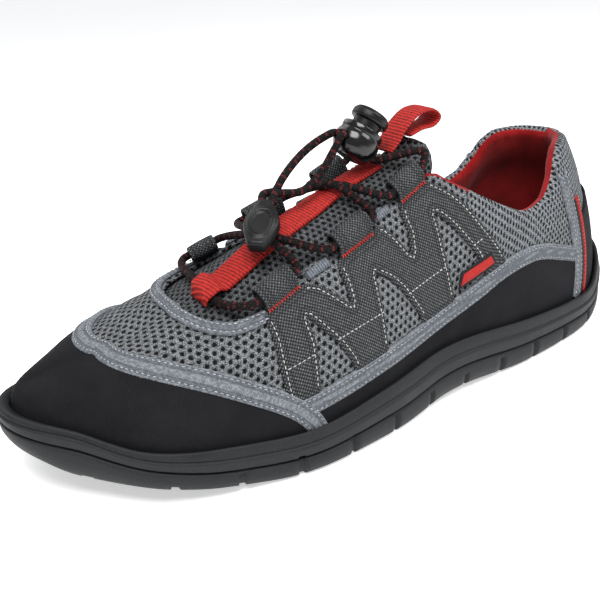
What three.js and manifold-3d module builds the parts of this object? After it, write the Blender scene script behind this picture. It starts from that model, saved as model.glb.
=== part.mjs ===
// A low water shoe for the left foot. One black rubber sole wraps the edge of a hollow mesh upper.
// Overlays, webbing straps and lace loops lie on the upper, a tongue closes the throat, and an
// elastic lace ends in a cord lock and an end clip.
// Millimetres. X runs from heel to toe, Y to the outer side, Z up, and the origin lies on the
// ground in the middle of the heel's flat tread.
import * as THREE from "three";
import { mergeVertices } from "three/addons/utils/BufferGeometryUtils.js";
import Module from "manifold-3d";

const wasm = await Module();
wasm.setup();

// Driving sizes of the foot form
const lastLength = 282;
const halfWidth = 50;
const instepHeight = 98;
const collarHeight = 86;
const rimHeight = 20;

// Driving sizes of the sole
const rimThickness = 4;
const treadDepth = 3.5;
const grooveWidth = 2.2;
const groovePitch = 21.4;
const firstGroove = 32.6;
const notchHeight = 9;
const notchDepth = 1.3;

// Driving sizes of the soft pieces
const wall = 2.4;
const collarPadding = 3.2;
const clearance = 0.3;
const overlay = 0.9;
const insoleThickness = 3;
const tongueThickness = 3;
const webbingWidth = 11.4;
const webbingThickness = 1.2;
const quarterBandWidth = 7;
const toeBandWidth = 8;
const heelBandWidth = 6.4;
const heelStripeWidth = 7;
const throatBandWidth = 4.6;
const lateralReach = 20;

// Driving sizes of the lace and its fittings
const laceRadius = 1.5;
const loopWidth = 8.5;
const loopSkin = 0.8;
const lockRadius = 8.5;
const lockLength = 12.5;
const lockCordSpread = 2.1;
const buttonRadius = 7.5;
const buttonCap = 4.6;
const buttonTravel = 2.6;
const stemRadius = 5.6;
const clipLength = 21.5;
const clipWidth = 13;
const clipThickness = 6;

// Grid of the foot form: columns around the edge and levels up each side
const columns = 36;
const levels = 6;

// The origin lies in the middle of the first tread block, so the form starts behind it
const formStart = -(firstGroove + groovePitch / 2);

const table = (names, rows) =>
  Object.fromEntries(names.map((name, i) => [name, rows.map((row) => row[i])]));

// Edge of the foot: share of the form's length, then shares of the half width to each side
const edge = table(["at", "outer", "inner"], [
  [0.0, 0.0, 0.0],
  [0.04, 0.39, 0.434],
  [0.15, 0.678, 0.59],
  [0.3, 0.776, 0.616],
  [0.45, 0.802, 0.54],
  [0.58, 0.924, 0.66],
  [0.68, 0.96, 0.822],
  [0.78, 0.864, 1.006],
  [0.88, 0.692, 0.904],
  [0.95, 0.31, 0.626],
  [1.0, -0.24, 0.24],
]);

// Heights along the length, as shares of the rim height: tread, lower edge of the upper, rim
const heights = table(["at", "tread", "feather", "rim"], [
  [0.0, 0.1, 0.65, 1.505],
  [0.1, 0.0, 0.6, 0.86],
  [0.28, 0.0, 0.55, 1.0],
  [0.42, 0.125, 0.5, 1.15],
  [0.55, 0.0, 0.4, 1.015],
  [0.72, 0.0, 0.4, 0.805],
  [0.82, 0.15, 0.5, 0.905],
  [0.9, 0.375, 0.625, 1.06],
  [0.96, 0.5, 0.7, 1.33],
  [1.0, 0.76, 0.91, 1.43],
]);

// Top line of the form: shares of length, half width and instep height, and how full the section is
const ridge = table(["at", "forward", "aside", "height", "fullness"], [
  [0.0, 0.27, 0.0, 1.27, 1.72],
  [0.2, 0.34, 0.0, 1.306, 1.85],
  [0.35, 0.429, 0.02, 1.0, 2.1],
  [0.5, 0.553, 0.06, 0.878, 1.85],
  [0.62, 0.66, 0.1, 0.786, 1.85],
  [0.75, 0.752, 0.12, 0.658, 1.9],
  [0.88, 0.837, 0.04, 0.515, 2.3],
  [1.0, 0.982, -0.26, 0.357, 2.9],
]);

// Side of the sole from tread to rim: share of the height, and share of the rim thickness
const soleSide = table(["up", "out"], [
  [0.0, 0.55],
  [0.08, 0.92],
  [0.26, 1.12],
  [0.42, 1.02],
  [0.46, 0.72],
  [0.52, 1.0],
  [0.72, 1.06],
  [0.76, 0.88],
  [1.0, 0.72],
]);

// Collar from the heel's back to the throat: share of length, share of collar height
const collar = table(["at", "up"], [
  [-0.05, 1.0],
  [0.02, 1.0],
  [0.085, 1.01],
  [0.145, 1.0],
  [0.174, 0.945],
  [0.192, 0.86],
  [0.22, 0.78],
  [0.259, 0.755],
  [0.3, 0.8],
  [0.365, 0.915],
  [0.418, 1.05],
  [0.436, 1.25],
  [0.44, 2.0],
]);

// Throat opening: place along the form, then the level of its outer and its inner edge
const throat = table(["along", "outer", "inner"], [
  [0.38, 0.74, 1.22],
  [0.43, 0.71, 1.22],
  [0.47, 0.69, 1.23],
  [0.488, 0.7, 1.235],
  [0.51, 0.65, 1.25],
  [0.55, 0.64, 1.27],
  [0.575, 0.66, 1.28],
  [0.6, 0.635, 1.29],
  [0.645, 0.62, 1.3],
  [0.672, 0.645, 1.27],
  [0.694, 0.71, 1.22],
  [0.71, 0.8, 1.15],
  [0.72, 0.9, 1.06],
]);

// Slopes that let a curve through points rise and fall without overshoot
function slopesOf(x, y) {
  const step = x.slice(1).map((value, i) => value - x[i]);
  const rise = step.map((width, i) => (y[i + 1] - y[i]) / width);
  return x.map((_, i) => {
    if (i === 0) return rise[0];
    if (i === x.length - 1) return rise[i - 1];
    if (rise[i - 1] * rise[i] <= 0) return 0;
    const before = 2 * step[i] + step[i - 1];
    const after = step[i] + 2 * step[i - 1];
    return (before + after) / (before / rise[i - 1] + after / rise[i]);
  });
}

function curve(x, y) {
  const slope = slopesOf(x, y);
  return (value) => {
    const t = THREE.MathUtils.clamp(value, x[0], x.at(-1));
    let i = 0;
    while (i < x.length - 2 && t > x[i + 1]) i += 1;
    const width = x[i + 1] - x[i];
    const q = (t - x[i]) / width;
    const p = 1 - q;
    return (1 + 2 * q) * p * p * y[i] + q * p * p * width * slope[i]
      + q * q * (3 - 2 * q) * y[i + 1] - q * q * p * width * slope[i + 1];
  };
}

const angleOf = (share) => Math.acos(1 - 2 * share) / Math.PI;
const outerEdge = curve(edge.at.map(angleOf), edge.outer);
const innerEdge = curve(edge.at.map(angleOf), edge.inner);
const treadAt = curve(heights.at, heights.tread);
const featherAt = curve(heights.at, heights.feather);
const rimAt = curve(heights.at, heights.rim);
const ridgeX = curve(ridge.at, ridge.forward);
const ridgeY = curve(ridge.at, ridge.aside);
const ridgeZ = curve(ridge.at, ridge.height);
const fullness = curve(ridge.at, ridge.fullness);
const throatOuter = curve(throat.along, throat.outer);
const throatInner = curve(throat.along, throat.inner);

const shareOf = (along) => (1 - Math.cos(Math.PI * along)) / 2;
const xOf = (share) => formStart + share * lastLength;

// A place past the toe or the heel lies on the other side
function wrap(along, level) {
  if (along > 1) return [2 - along, 2 - level];
  if (along < 0) return [-along, 2 - level];
  return [along, level];
}

// Surface of the foot form. "along" goes from heel 0 to toe 1, and "level" from the outer edge 0
// over the top line 1 to the inner edge 2. Below an edge the form goes straight down.
function form(along, level) {
  const [u, v] = wrap(along, level);
  const share = shareOf(u);
  const outer = v <= 1;
  const up = outer ? v : 2 - v;
  const x = xOf(share);
  const y = (outer ? outerEdge(u) : -innerEdge(u)) * halfWidth;
  const low = featherAt(share) * rimHeight;
  if (up <= 0) return new THREE.Vector3(x, y, low + up * rimHeight);
  const power = 2 / fullness(share);
  const turn = up * Math.PI / 2;
  const out = Math.cos(turn) ** power;
  const rise = Math.sin(turn) ** power;
  const top = new THREE.Vector3(xOf(ridgeX(share)), ridgeY(share) * halfWidth, ridgeZ(share) * instepHeight);
  return new THREE.Vector3(
    top.x + (x - top.x) * out,
    top.y + (y - top.y) * out,
    low + (top.z - low) * rise,
  );
}

const tiny = 1e-3;

function slopeAlong(along, level) {
  return form(along + tiny, level).sub(form(along - tiny, level)).divideScalar(2 * tiny);
}

function slopeUp(along, level) {
  return form(along, level + tiny).sub(form(along, level - tiny)).divideScalar(2 * tiny);
}

// The top line's two ends have no slope of their own and take the one just inside
function normalOf(along, level) {
  const onTop = Math.abs(level - 1) < 0.05;
  const place = onTop ? THREE.MathUtils.clamp(along, 0.02, 0.98) : along;
  return slopeUp(place, level).cross(slopeAlong(place, level)).normalize();
}

// A point that stands off the form by a distance
const skin = (along, level, off) => form(along, level).addScaledVector(normalOf(along, level), off);

// Plain closed mesh to solid, with the faces turned outward
function solid(points, triangles) {
  let volume = 0;
  for (const [a, b, c] of triangles) {
    volume += points[a].dot(points[b].clone().cross(points[c]));
  }
  const turned = volume < 0 ? triangles.map(([a, b, c]) => [a, c, b]) : triangles;
  return new wasm.Manifold(new wasm.Mesh({
    numProp: 3,
    vertProperties: new Float32Array(points.flatMap((p) => [p.x, p.y, p.z])),
    triVerts: new Uint32Array(turned.flat()),
  }));
}

function solidOf(geometry) {
  const bare = geometry.clone();
  bare.deleteAttribute("normal");
  bare.deleteAttribute("uv");
  const merged = mergeVertices(bare, 1e-4);
  const place = merged.attributes.position;
  const points = Array.from({ length: place.count }, (_, i) => new THREE.Vector3().fromBufferAttribute(place, i));
  const index = merged.index.array;
  const triangles = [];
  for (let i = 0; i < index.length; i += 3) {
    const corners = [index[i], index[i + 1], index[i + 2]];
    if (new Set(corners).size === 3) triangles.push(corners);
  }
  return solid(points, triangles);
}

// Place of each column around the edge: outer side from heel to toe, then back along the inner side
const places = Array.from({ length: columns }, (_, k) => {
  const turn = 2 * k / columns;
  return turn <= 1 ? { along: turn, side: 0 } : { along: 2 - turn, side: 2 };
});
const levelOn = (place, up) => Math.abs(place.side - up);

// Rings of points, one above another, closed below and above by strips from side to side
function stack(rings) {
  const points = rings.flat();
  const triangles = [];
  const next = (k) => (k + 1) % columns;
  for (let j = 0; j + 1 < rings.length; j += 1) {
    for (let k = 0; k < columns; k += 1) {
      const [a, b, c, d] = [j * columns + k, j * columns + next(k), (j + 1) * columns + next(k), (j + 1) * columns + k];
      triangles.push([a, d, c], [a, c, b]);
    }
  }
  for (const [start, turned] of [[0, false], [(rings.length - 1) * columns, true]]) {
    for (let k = 0; k < columns / 2; k += 1) {
      const [a, b, c, d] = [k, k + 1, columns - k - 1, columns - k].map((i) => start + i % columns);
      const faces = [[a, b, c], [a, c, d]].filter((face) => new Set(face).size === 3);
      triangles.push(...faces.map(([p, q, r]) => (turned ? [p, r, q] : [p, q, r])));
    }
  }
  return solid(points, triangles);
}

// The whole form, grown or shrunk by a distance, from a little below its lower edge to the top line
function formSolid(off, drop = 0) {
  const distance = typeof off === "function" ? off : () => off;
  const ring = (up) => places.map((place) => {
    const level = levelOn(place, up);
    return skin(place.along, level, distance(place.along, level));
  });
  const rings = Array.from({ length: levels }, (_, j) => ring(j / levels));
  if (drop > 0) {
    rings.unshift(rings[0].map((point) => new THREE.Vector3(point.x, point.y, point.z - drop)));
  }
  const points = rings.flat();
  const topStart = points.length;
  for (let k = 0; k <= columns / 2; k += 1) {
    points.push(skin(places[k].along, 1, distance(places[k].along, 1)));
  }
  const topOf = (k) => topStart + (k <= columns / 2 ? k : columns - k);
  const triangles = [];
  for (let j = 0; j < rings.length; j += 1) {
    for (let k = 0; k < columns; k += 1) {
      const after = (k + 1) % columns;
      const [a, b] = [j * columns + k, j * columns + after];
      const last = j === rings.length - 1;
      const [c, d] = last ? [topOf(after), topOf(k)] : [(j + 1) * columns + after, (j + 1) * columns + k];
      triangles.push([a, d, c], [a, c, b]);
    }
  }
  for (let k = 0; k < columns / 2; k += 1) {
    const [a, b, c, d] = [k, k + 1, columns - k - 1, (columns - k) % columns];
    triangles.push(...[[a, b, c], [a, c, d]].filter((face) => new Set(face).size === 3));
  }
  return solid(points, triangles);
}

// A slab over a grid of places on the form, between two distances from it
function slab(grid, low, high) {
  const rows = grid.length;
  const count = grid[0].length;
  const at = (distance) => (typeof distance === "function" ? distance : () => distance);
  const points = [low, high].flatMap((distance) => grid.flatMap((row) => row.map(
    ([along, level]) => skin(along, level, at(distance)(along, level)),
  )));
  const triangles = [];
  const index = (layer, r, c) => layer * rows * count + r * count + c;
  const face = (a, b, c, d) => triangles.push([a, b, c], [a, c, d]);
  for (let r = 0; r + 1 < rows; r += 1) {
    for (let c = 0; c + 1 < count; c += 1) {
      face(index(1, r, c), index(1, r, c + 1), index(1, r + 1, c + 1), index(1, r + 1, c));
      face(index(0, r, c), index(0, r + 1, c), index(0, r + 1, c + 1), index(0, r, c + 1));
    }
  }
  for (let c = 0; c + 1 < count; c += 1) {
    face(index(0, 0, c + 1), index(1, 0, c + 1), index(1, 0, c), index(0, 0, c));
    face(index(0, rows - 1, c + 1), index(0, rows - 1, c), index(1, rows - 1, c), index(1, rows - 1, c + 1));
  }
  for (let r = 0; r + 1 < rows; r += 1) {
    face(index(0, r + 1, 0), index(0, r, 0), index(1, r, 0), index(1, r + 1, 0));
    face(index(0, r + 1, count - 1), index(1, r + 1, count - 1), index(1, r, count - 1), index(0, r, count - 1));
  }
  return solid(points, triangles);
}

// A slab under a small outline of places on the form
function cookie(outline, low, high) {
  const flat = outline.map(([along, level]) => new THREE.Vector2(along * 3, level));
  const faces = THREE.ShapeUtils.triangulateShape(flat, []);
  const count = outline.length;
  const points = [low, high].flatMap((off) => outline.map(([along, level]) => skin(along, level, off)));
  const triangles = faces.flatMap(([a, b, c]) => [[a, c, b], [a + count, b + count, c + count]]);
  const clockwise = THREE.ShapeUtils.isClockWise(flat);
  for (let i = 0; i < count; i += 1) {
    const j = (i + 1) % count;
    const [a, b] = clockwise ? [j, i] : [i, j];
    triangles.push([a, b, b + count], [a, b + count, a + count]);
  }
  return solid(points, triangles);
}

const cutLow = -3;
const cutHigh = 5;
const lowLevel = -0.35;

// A smooth run of places through a few chosen ones, evenly spaced on the form
function run(chosen, count) {
  const lengths = [0];
  for (let i = 1; i < chosen.length; i += 1) {
    lengths.push(lengths[i - 1] + form(...chosen[i]).distanceTo(form(...chosen[i - 1])));
  }
  const along = curve(lengths, chosen.map((place) => place[0]));
  const level = curve(lengths, chosen.map((place) => place[1]));
  return Array.from({ length: count }, (_, i) => {
    const t = lengths.at(-1) * i / (count - 1);
    return [along(t), level(t)];
  });
}

// The same run moved sideways over the form, to the left of its direction seen from outside
function beside(chosen, distance) {
  const steps = 4;
  return chosen.map((place, i) => {
    const ahead = form(...chosen[Math.min(i + 1, chosen.length - 1)]);
    const direction = ahead.sub(form(...chosen[Math.max(i - 1, 0)]));
    let [along, level] = place;
    const sideways = normalOf(along, level).cross(direction).normalize().multiplyScalar(distance / steps);
    for (let n = 0; n < steps; n += 1) {
      const a = slopeAlong(along, level);
      const b = slopeUp(along, level);
      const [aa, ab, bb] = [a.dot(a), a.dot(b), b.dot(b)];
      const [as, bs] = [a.dot(sideways), b.dot(sideways)];
      const scale = 1 / (aa * bb - ab * ab);
      along += (bb * as - ab * bs) * scale;
      level += (aa * bs - ab * as) * scale;
    }
    return [along, level];
  });
}

// Outlines are chosen on the outer side and mirrored to the inner side, where the straps reach
// higher and lean toward the toe, because the throat lies aslant
const strapLevel = 0.3;
const strapTop = 0.62;
const strapLean = curve([0.4, 0.53, 0.62, 0.65], [0.03, 0.028, 0.009, 0]);
function mirrored([along, level]) {
  const share = THREE.MathUtils.clamp((level - strapLevel) / (strapTop - strapLevel), 0, 1);
  const ahead = along + strapLean(along) * share;
  const reach = (2 - throatInner(ahead)) / throatOuter(along);
  return [ahead, 2 - level * (1 + (reach - 1) * share)];
}
const onSide = (outer, chosen) => (outer ? chosen : chosen.map(mirrored));
const sign = (outer) => (outer ? 1 : -1);

// Band lines, each through a few chosen places
const quarterLine = run([
  [0.645, 0.22], [0.593, 0.225], [0.526, 0.237], [0.459, 0.24], [0.425, 0.243], [0.391, 0.256],
  [0.345, 0.243], [0.286, 0.212], [0.238, 0.185],
], 14);
const toeLine = run([
  [0.6, lowLevel], [0.607, 0.04], [0.616, 0.14], [0.639, 0.24], [0.699, 0.42], [0.776, 0.68],
  [0.822, 1.0], [0.817, 1.18], [0.776, 1.36], [0.699, 1.58], [0.639, 1.76], [0.616, 1.86],
  [0.607, 1.96], [0.6, 2 - lowLevel],
], 21);
const heelLine = run([
  [0.252, 0.45], [0.253, 0.33], [0.25, 0.25], [0.248, 0.17], [0.252, 0.1], [0.258, 0.02], [0.26, lowLevel],
], 8);
const stripeLine = heelLine.filter(([, level]) => level < 0.3);
const throatLine = run([
  [0.651, 0.616], [0.672, 0.63], [0.694, 0.69], [0.712, 0.8], [0.7235, 0.97],
  [0.715, 1.12], [0.694, 1.235], [0.672, 1.285], [0.651, 1.307],
], 13);
const counterLine = run([[0.23, 0.24], [0.2, 0.26], [0.12, 0.3], [0.0, 0.315], [-0.12, 0.3], [-0.2, 0.26], [-0.23, 0.24]], 9);
const towardBottom = (line) => line.map(([along]) => [along, lowLevel]);

const stripeStart = heelBandWidth + clearance;
const stripeEnd = stripeStart + heelStripeWidth;

const ruled = (first, second, low = cutLow, high = cutHigh) => slab([first, second], low, high);

// Layers that the pieces are cut from
const gapOver = clearance;
const overlayTop = gapOver + overlay;
const layer = formSolid(overlayTop).subtract(formSolid(gapOver, 2));

function panelGrid(outer) {
  const top = [[0.646, 0.592], [0.598, 0.61], [0.552, 0.612], [0.508, 0.622], [0.469, 0.66], [0.431, 0.69]];
  const front = [[0.646, 0.592], [0.646, 0.49], [0.649, 0.38], [0.65, 0.27], [0.65, 0.1]];
  const rear = [[0.431, 0.69], [0.413, 0.56], [0.399, 0.42], [0.383, 0.29], [0.37, 0.1]];
  return front.map((ahead, r) => top.map((crest, c) => {
    const t = c / (top.length - 1);
    const fade = 1 - r / (front.length - 1);
    const place = [0, 1].map((axis) => {
      const plain = (1 - t) * ahead[axis] + t * rear[r][axis];
      const straight = (1 - t) * top[0][axis] + t * top.at(-1)[axis];
      return plain + (crest[axis] - straight) * fade;
    });
    return outer ? place : mirrored(place);
  }));
}

// Openings in the strap panel, where the mesh shows
const windows = [
  [[0.592, 0.8], [0.592, 0.6], [0.583, 0.575], [0.574, 0.52], [0.562, 0.445], [0.559, 0.51], [0.557, 0.58], [0.557, 0.8]],
  [[0.502, 0.8], [0.502, 0.64], [0.495, 0.62], [0.49, 0.57], [0.486, 0.52], [0.482, 0.47], [0.475, 0.54], [0.474, 0.6], [0.474, 0.8]],
  [[0.607, 0.49], [0.608, 0.39], [0.611, 0.34], [0.618, 0.1], [0.572, 0.1], [0.58, 0.27], [0.588, 0.35], [0.598, 0.42]],
  [[0.526, 0.49], [0.531, 0.4], [0.536, 0.29], [0.542, 0.1], [0.48, 0.1], [0.494, 0.28], [0.505, 0.38], [0.514, 0.44]],
  [[0.442, 0.55], [0.445, 0.48], [0.448, 0.41], [0.449, 0.36], [0.452, 0.1], [0.4, 0.1], [0.415, 0.33], [0.424, 0.4], [0.434, 0.49]],
];
const tapes = [
  [[0.588, 0.61], [0.561, 0.61], [0.561, 0.65], [0.588, 0.642]],
  [[0.498, 0.65], [0.479, 0.655], [0.479, 0.69], [0.498, 0.68]],
];
const labelGrid = [
  [[0.446, 0.262], [0.43, 0.262], [0.413, 0.264], [0.395, 0.27]],
  [[0.439, 0.31], [0.426, 0.31], [0.412, 0.31], [0.398, 0.312]],
];

// Ends of each bar tack, where the straps turn into lace loops, and how far its two loops are
// pulled up from the upper
const tacks = [
  { front: [0.64, 0.598], rear: [0.6, 0.614], outerLift: 0, innerLift: 0 },
  { front: [0.55, 0.618], rear: [0.509, 0.628], outerLift: 0, innerLift: 0.7 },
  { front: [0.467, 0.667], rear: [0.433, 0.694], outerLift: 0, innerLift: 1 },
];

function frameAt(origin, across, up) {
  const third = new THREE.Vector3().crossVectors(across, up);
  return new THREE.Matrix4().makeBasis(across, up, third).setPosition(origin);
}

// Frame of a lace loop: its inward direction, its outward normal and its length along the throat
function loopFrame(outer, tack) {
  const { front, rear } = tack;
  const [start, end] = onSide(outer, [front, rear]).map((place) => form(...place));
  const [first, last] = outer ? [start, end] : [end, start];
  const axis = last.clone().sub(first);
  const length = axis.length();
  axis.normalize();
  const middle = [(front[0] + rear[0]) / 2, (front[1] + rear[1]) / 2];
  const up = normalOf(...(outer ? middle : mirrored(middle)));
  up.addScaledVector(axis, -up.dot(axis)).normalize();
  up.applyAxisAngle(axis, outer ? tack.outerLift : tack.innerLift);
  const inward = new THREE.Vector3().crossVectors(up, axis);
  return { first, axis, up, inward, length, start, end };
}

const loopBase = 2 * clearance;
const laceHole = 2 * (laceRadius + clearance);
const loopHeight = laceHole + 2 * loopSkin;

function roundedSlot(path, centreX, centreY, width, height) {
  const radius = height / 2;
  const half = width / 2 - radius;
  path.moveTo(centreX - half, centreY - radius);
  path.lineTo(centreX + half, centreY - radius);
  path.absarc(centreX + half, centreY, radius, -Math.PI / 2, Math.PI / 2, false);
  path.lineTo(centreX - half, centreY + radius);
  path.absarc(centreX - half, centreY, radius, Math.PI / 2, 3 * Math.PI / 2, false);
  return path;
}

function loopSolid(outer, tack) {
  const { first, up, inward, length } = loopFrame(outer, tack);
  const centre = [clearance + loopWidth / 2, loopBase + loopHeight / 2];
  const shape = roundedSlot(new THREE.Shape(), ...centre, loopWidth, loopHeight);
  shape.holes.push(roundedSlot(new THREE.Path(), ...centre, loopWidth - 2 * loopSkin, laceHole));
  const geometry = new THREE.ExtrudeGeometry(shape, { depth: length, bevelEnabled: false, curveSegments: 3 });
  geometry.applyMatrix4(frameAt(first, inward, up));
  return solidOf(geometry);
}

// The lace's straight stretch through a loop, from the toe's side to the heel's side
function laceInLoop(outer, tack) {
  const { start, end, up, inward } = loopFrame(outer, tack);
  const lift = inward.clone().multiplyScalar(clearance + loopWidth / 2)
    .addScaledVector(up, loopBase + loopHeight / 2);
  return [-0.2, 0.1, 0.5, 0.9, 1.2].map((share) => start.clone().lerp(end, share).add(lift));
}

function tube(points, radius, steps, sides = 8) {
  const section = new THREE.Shape();
  for (let i = 0; i < sides; i += 1) {
    const turn = 2 * Math.PI * i / sides;
    const [x, y] = [radius * Math.cos(turn), radius * Math.sin(turn)];
    if (i === 0) section.moveTo(x, y);
    else section.lineTo(x, y);
  }
  const path = new THREE.CatmullRomCurve3(points, false, "centripetal");
  return solidOf(new THREE.ExtrudeGeometry(section, { steps, extrudePath: path, bevelEnabled: false }));
}

// Outline between two distances from the middle line of a folded strap, in side view
function strapOutline(points, thickness) {
  const path = new THREE.CatmullRomCurve3(points.map(([x, z]) => new THREE.Vector3(x, z, 0)));
  const samples = path.getSpacedPoints(16);
  const side = (sense) => samples.map((point, i) => {
    const direction = path.getTangentAt(i / (samples.length - 1));
    return new THREE.Vector2(
      point.x - sense * direction.y * thickness / 2,
      point.y + sense * direction.x * thickness / 2,
    );
  });
  return new THREE.Shape([...side(1), ...side(-1).reverse()]);
}

// Prism of an outline in side view, between two places across the shoe
function acrossPrism(shape, from, to) {
  const geometry = new THREE.ExtrudeGeometry(shape, { depth: to - from, bevelEnabled: false, curveSegments: 6 });
  geometry.rotateX(Math.PI / 2);
  geometry.translate(0, to, 0);
  return solidOf(geometry);
}

// Upper

function upperSolid() {
  const paddedTo = 0.385;
  const padFade = 0.04;
  const padDepth = 26;
  const collarLine = curve(collar.at, collar.up);
  const inner = (along, level) => {
    const point = form(along, level);
    const line = collarLine((point.x - formStart) / lastLength) * collarHeight;
    const near = THREE.MathUtils.smoothstep(point.z, line - padDepth, line - padDepth / 3);
    const back = 1 - THREE.MathUtils.smoothstep(along, paddedTo - padFade, paddedTo);
    return -(wall + collarPadding * near * back);
  };
  const shell = formSolid(0).subtract(formSolid(inner, 2));
  const opening = slab(throat.along.map((along, i) => Array.from({ length: 4 }, (_, c) => {
    const t = c / 3;
    return [along, throat.outer[i] * (1 - t) + throat.inner[i] * t];
  })), -9, 9);
  return shell.subtract(opening).subtract(collarPrism());
}

function collarPrism() {
  const line = curve(collar.at, collar.up);
  const stations = [-0.05, 0.05, 0.1, 0.14, 0.165, 0.18, 0.195, 0.215, 0.24, 0.27, 0.31, 0.36, 0.4, 0.425, 0.436, 0.44];
  const points = stations.map((at) => new THREE.Vector2(xOf(at), line(at) * collarHeight));
  const roof = 3 * collarHeight;
  points.push(new THREE.Vector2(xOf(0.44), roof), new THREE.Vector2(xOf(-0.05), roof));
  return acrossPrism(new THREE.Shape(points), -halfWidth * 1.5, halfWidth * 1.5);
}

// Sole

const rimOf = (share) => rimAt(share) * rimHeight;
const treadOf = (share) => treadAt(share) * rimHeight;

// Level on the form where a side reaches a height
function levelAt(along, outer, height) {
  const share = shareOf(along);
  const low = featherAt(share) * rimHeight;
  const rise = (height - low) / (ridgeZ(share) * instepHeight - low);
  const up = rise <= 0 ? (height - low) / rimHeight : Math.asin(rise ** (fullness(share) / 2)) * 2 / Math.PI;
  return outer ? up : 2 - up;
}

const toeBumper = 1.8;
function soleSolid() {
  const rings = soleSide.up.map((up, row) => places.map((place) => {
    const share = shareOf(place.along);
    const bumper = toeBumper * THREE.MathUtils.smoothstep(share, 0.95, 1) * Math.min(1, up * 2);
    const height = treadOf(share) + (rimOf(share) - treadOf(share)) * up;
    const off = soleSide.out[row] * rimThickness + bumper + (up > 0.5 ? overlayTop * (up - 0.5) : 0);
    const level = levelAt(place.along, place.side === 0, height);
    const point = skin(place.along, level, off);
    if (row === 0) point.z = height;
    return point;
  }));
  const cup = formSolid(overlayTop + clearance, clearance);
  let sole = stack(rings).subtract(cup);
  const reach = 2 * halfWidth * 1.5;
  for (let at = firstGroove; at < lastLength; at += groovePitch) {
    const share = at / lastLength;
    const groove = new THREE.BoxGeometry(grooveWidth, reach, 2 * treadDepth);
    groove.translate(xOf(share), 0, treadOf(share));
    sole = sole.subtract(solidOf(groove));
    for (const outer of [true, false]) {
      sole = sole.subtract(notchSolid(share, outer));
    }
  }
  return sole;
}

// Upright notch in the side of the sole, at the end of a tread groove
function notchSolid(share, outer) {
  const along = angleOf(share);
  const bottom = treadOf(share);
  const level = levelAt(along, outer, bottom);
  const out = normalOf(along, level).setZ(0).normalize();
  const depth = 12;
  const face = rimThickness * 1.12 - notchDepth;
  const box = new THREE.BoxGeometry(depth, grooveWidth, notchHeight * 2);
  box.rotateZ(Math.atan2(out.y, out.x));
  const centre = form(along, outer ? 0 : 2).addScaledVector(out, face + depth / 2);
  box.translate(centre.x, centre.y, bottom);
  return solidOf(box);
}

// Insole

function insoleSolid() {
  const ring = (share, lift) => {
    const height = featherAt(share) * rimHeight + lift;
    return height;
  };
  const rings = [0, insoleThickness].map((lift) => places.map((place) => {
    const share = shareOf(place.along);
    const height = ring(share, lift);
    const level = levelAt(place.along, place.side === 0, height);
    const point = skin(place.along, level, -(wall + clearance + lift / 10));
    point.z = height;
    return point;
  }));
  return stack(rings);
}

// Tongue and its webbing

const tongueTop = -(wall + clearance + 0.05);

function tongueSolid() {
  const body = formSolid(tongueTop).subtract(formSolid(tongueTop - tongueThickness, 2));
  const sections = table(["along", "outer", "inner"], [
    [0.394, 0.84, 1.12],
    [0.402, 0.76, 1.2],
    [0.43, 0.66, 1.27],
    [0.5, 0.58, 1.32],
    [0.6, 0.56, 1.37],
    [0.66, 0.58, 1.36],
    [0.715, 0.68, 1.26],
    [0.742, 0.8, 1.16],
  ]);
  const outer = curve(sections.along, sections.outer);
  const inner = curve(sections.along, sections.inner);
  const steps = 9;
  const grid = Array.from({ length: steps + 1 }, (_, r) => {
    const along = sections.along[0] + (sections.along.at(-1) - sections.along[0]) * r / steps;
    return Array.from({ length: 5 }, (_, c) => [along, outer(along) * (1 - c / 4) + inner(along) * c / 4]);
  });
  return body.intersect(slab(grid, tongueTop - tongueThickness - 2.5, tongueTop + 2.5));
}

const barPlace = 0.679;
const webbingBase = tongueTop + 3 * clearance;
const webbingLine = run([[0.698, 0.9], [0.66, 0.905], [0.626, 0.91], [0.546, 0.93], [0.474, 0.975], [0.441, 0.975]], 22);

function webbingSolid() {
  const hump = (along) => {
    const away = Math.abs(along - barPlace) / 0.02;
    return 2 * (laceRadius + clearance) * (1 - THREE.MathUtils.smoothstep(away, 0.35, 1));
  };
  const grid = [-1, 0, 1].map((share) => beside(webbingLine, share * webbingWidth / 2));
  const low = (along) => webbingBase + hump(along);
  return slab(grid, low, (along) => low(along) + webbingThickness);
}

// Pull loop at the top of the tongue, in side view: places in millimetres from its foot
const pullFoot = skin(0.43, 0.97, webbingBase + webbingThickness);
const pullRun = [[0, 1.2], [-3.6, 4.4], [-8, 9.8], [-15, 14.2], [-22.5, 14.4],
  [-25.6, 11.2], [-22.6, 8.4], [-16, 7.8], [-10, 6.2]];

function pullLoopSolid() {
  const points = pullRun.map(([x, z]) => [pullFoot.x + x, pullFoot.z + z]);
  const shape = strapOutline(points, webbingThickness);
  return acrossPrism(shape, pullFoot.y - webbingWidth / 2, pullFoot.y + webbingWidth / 2);
}

// Cord lock. Its axis leans back, and the two cords pass through it side by side

const lockCentre = skin(0.46, 0.985, 10);
const lockAxis = new THREE.Vector3(-0.65, 0, 0.76).normalize();
const lockForward = new THREE.Vector3(0.76, 0, 0.65).normalize();
const slotPlace = -1.2;
const recessDepth = lockLength / 2 - (slotPlace + laceRadius + clearance) - 0.8;
const recessRadius = stemRadius + clearance;

function turnedSolid(profile, from) {
  const geometry = new THREE.LatheGeometry(profile.map(([r, h]) => new THREE.Vector2(r, h)), 14);
  const turn = new THREE.Quaternion().setFromUnitVectors(new THREE.Vector3(0, 1, 0), lockAxis);
  geometry.applyQuaternion(turn);
  geometry.translate(...lockCentre.clone().addScaledVector(lockAxis, from).toArray());
  return solidOf(geometry);
}

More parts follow.
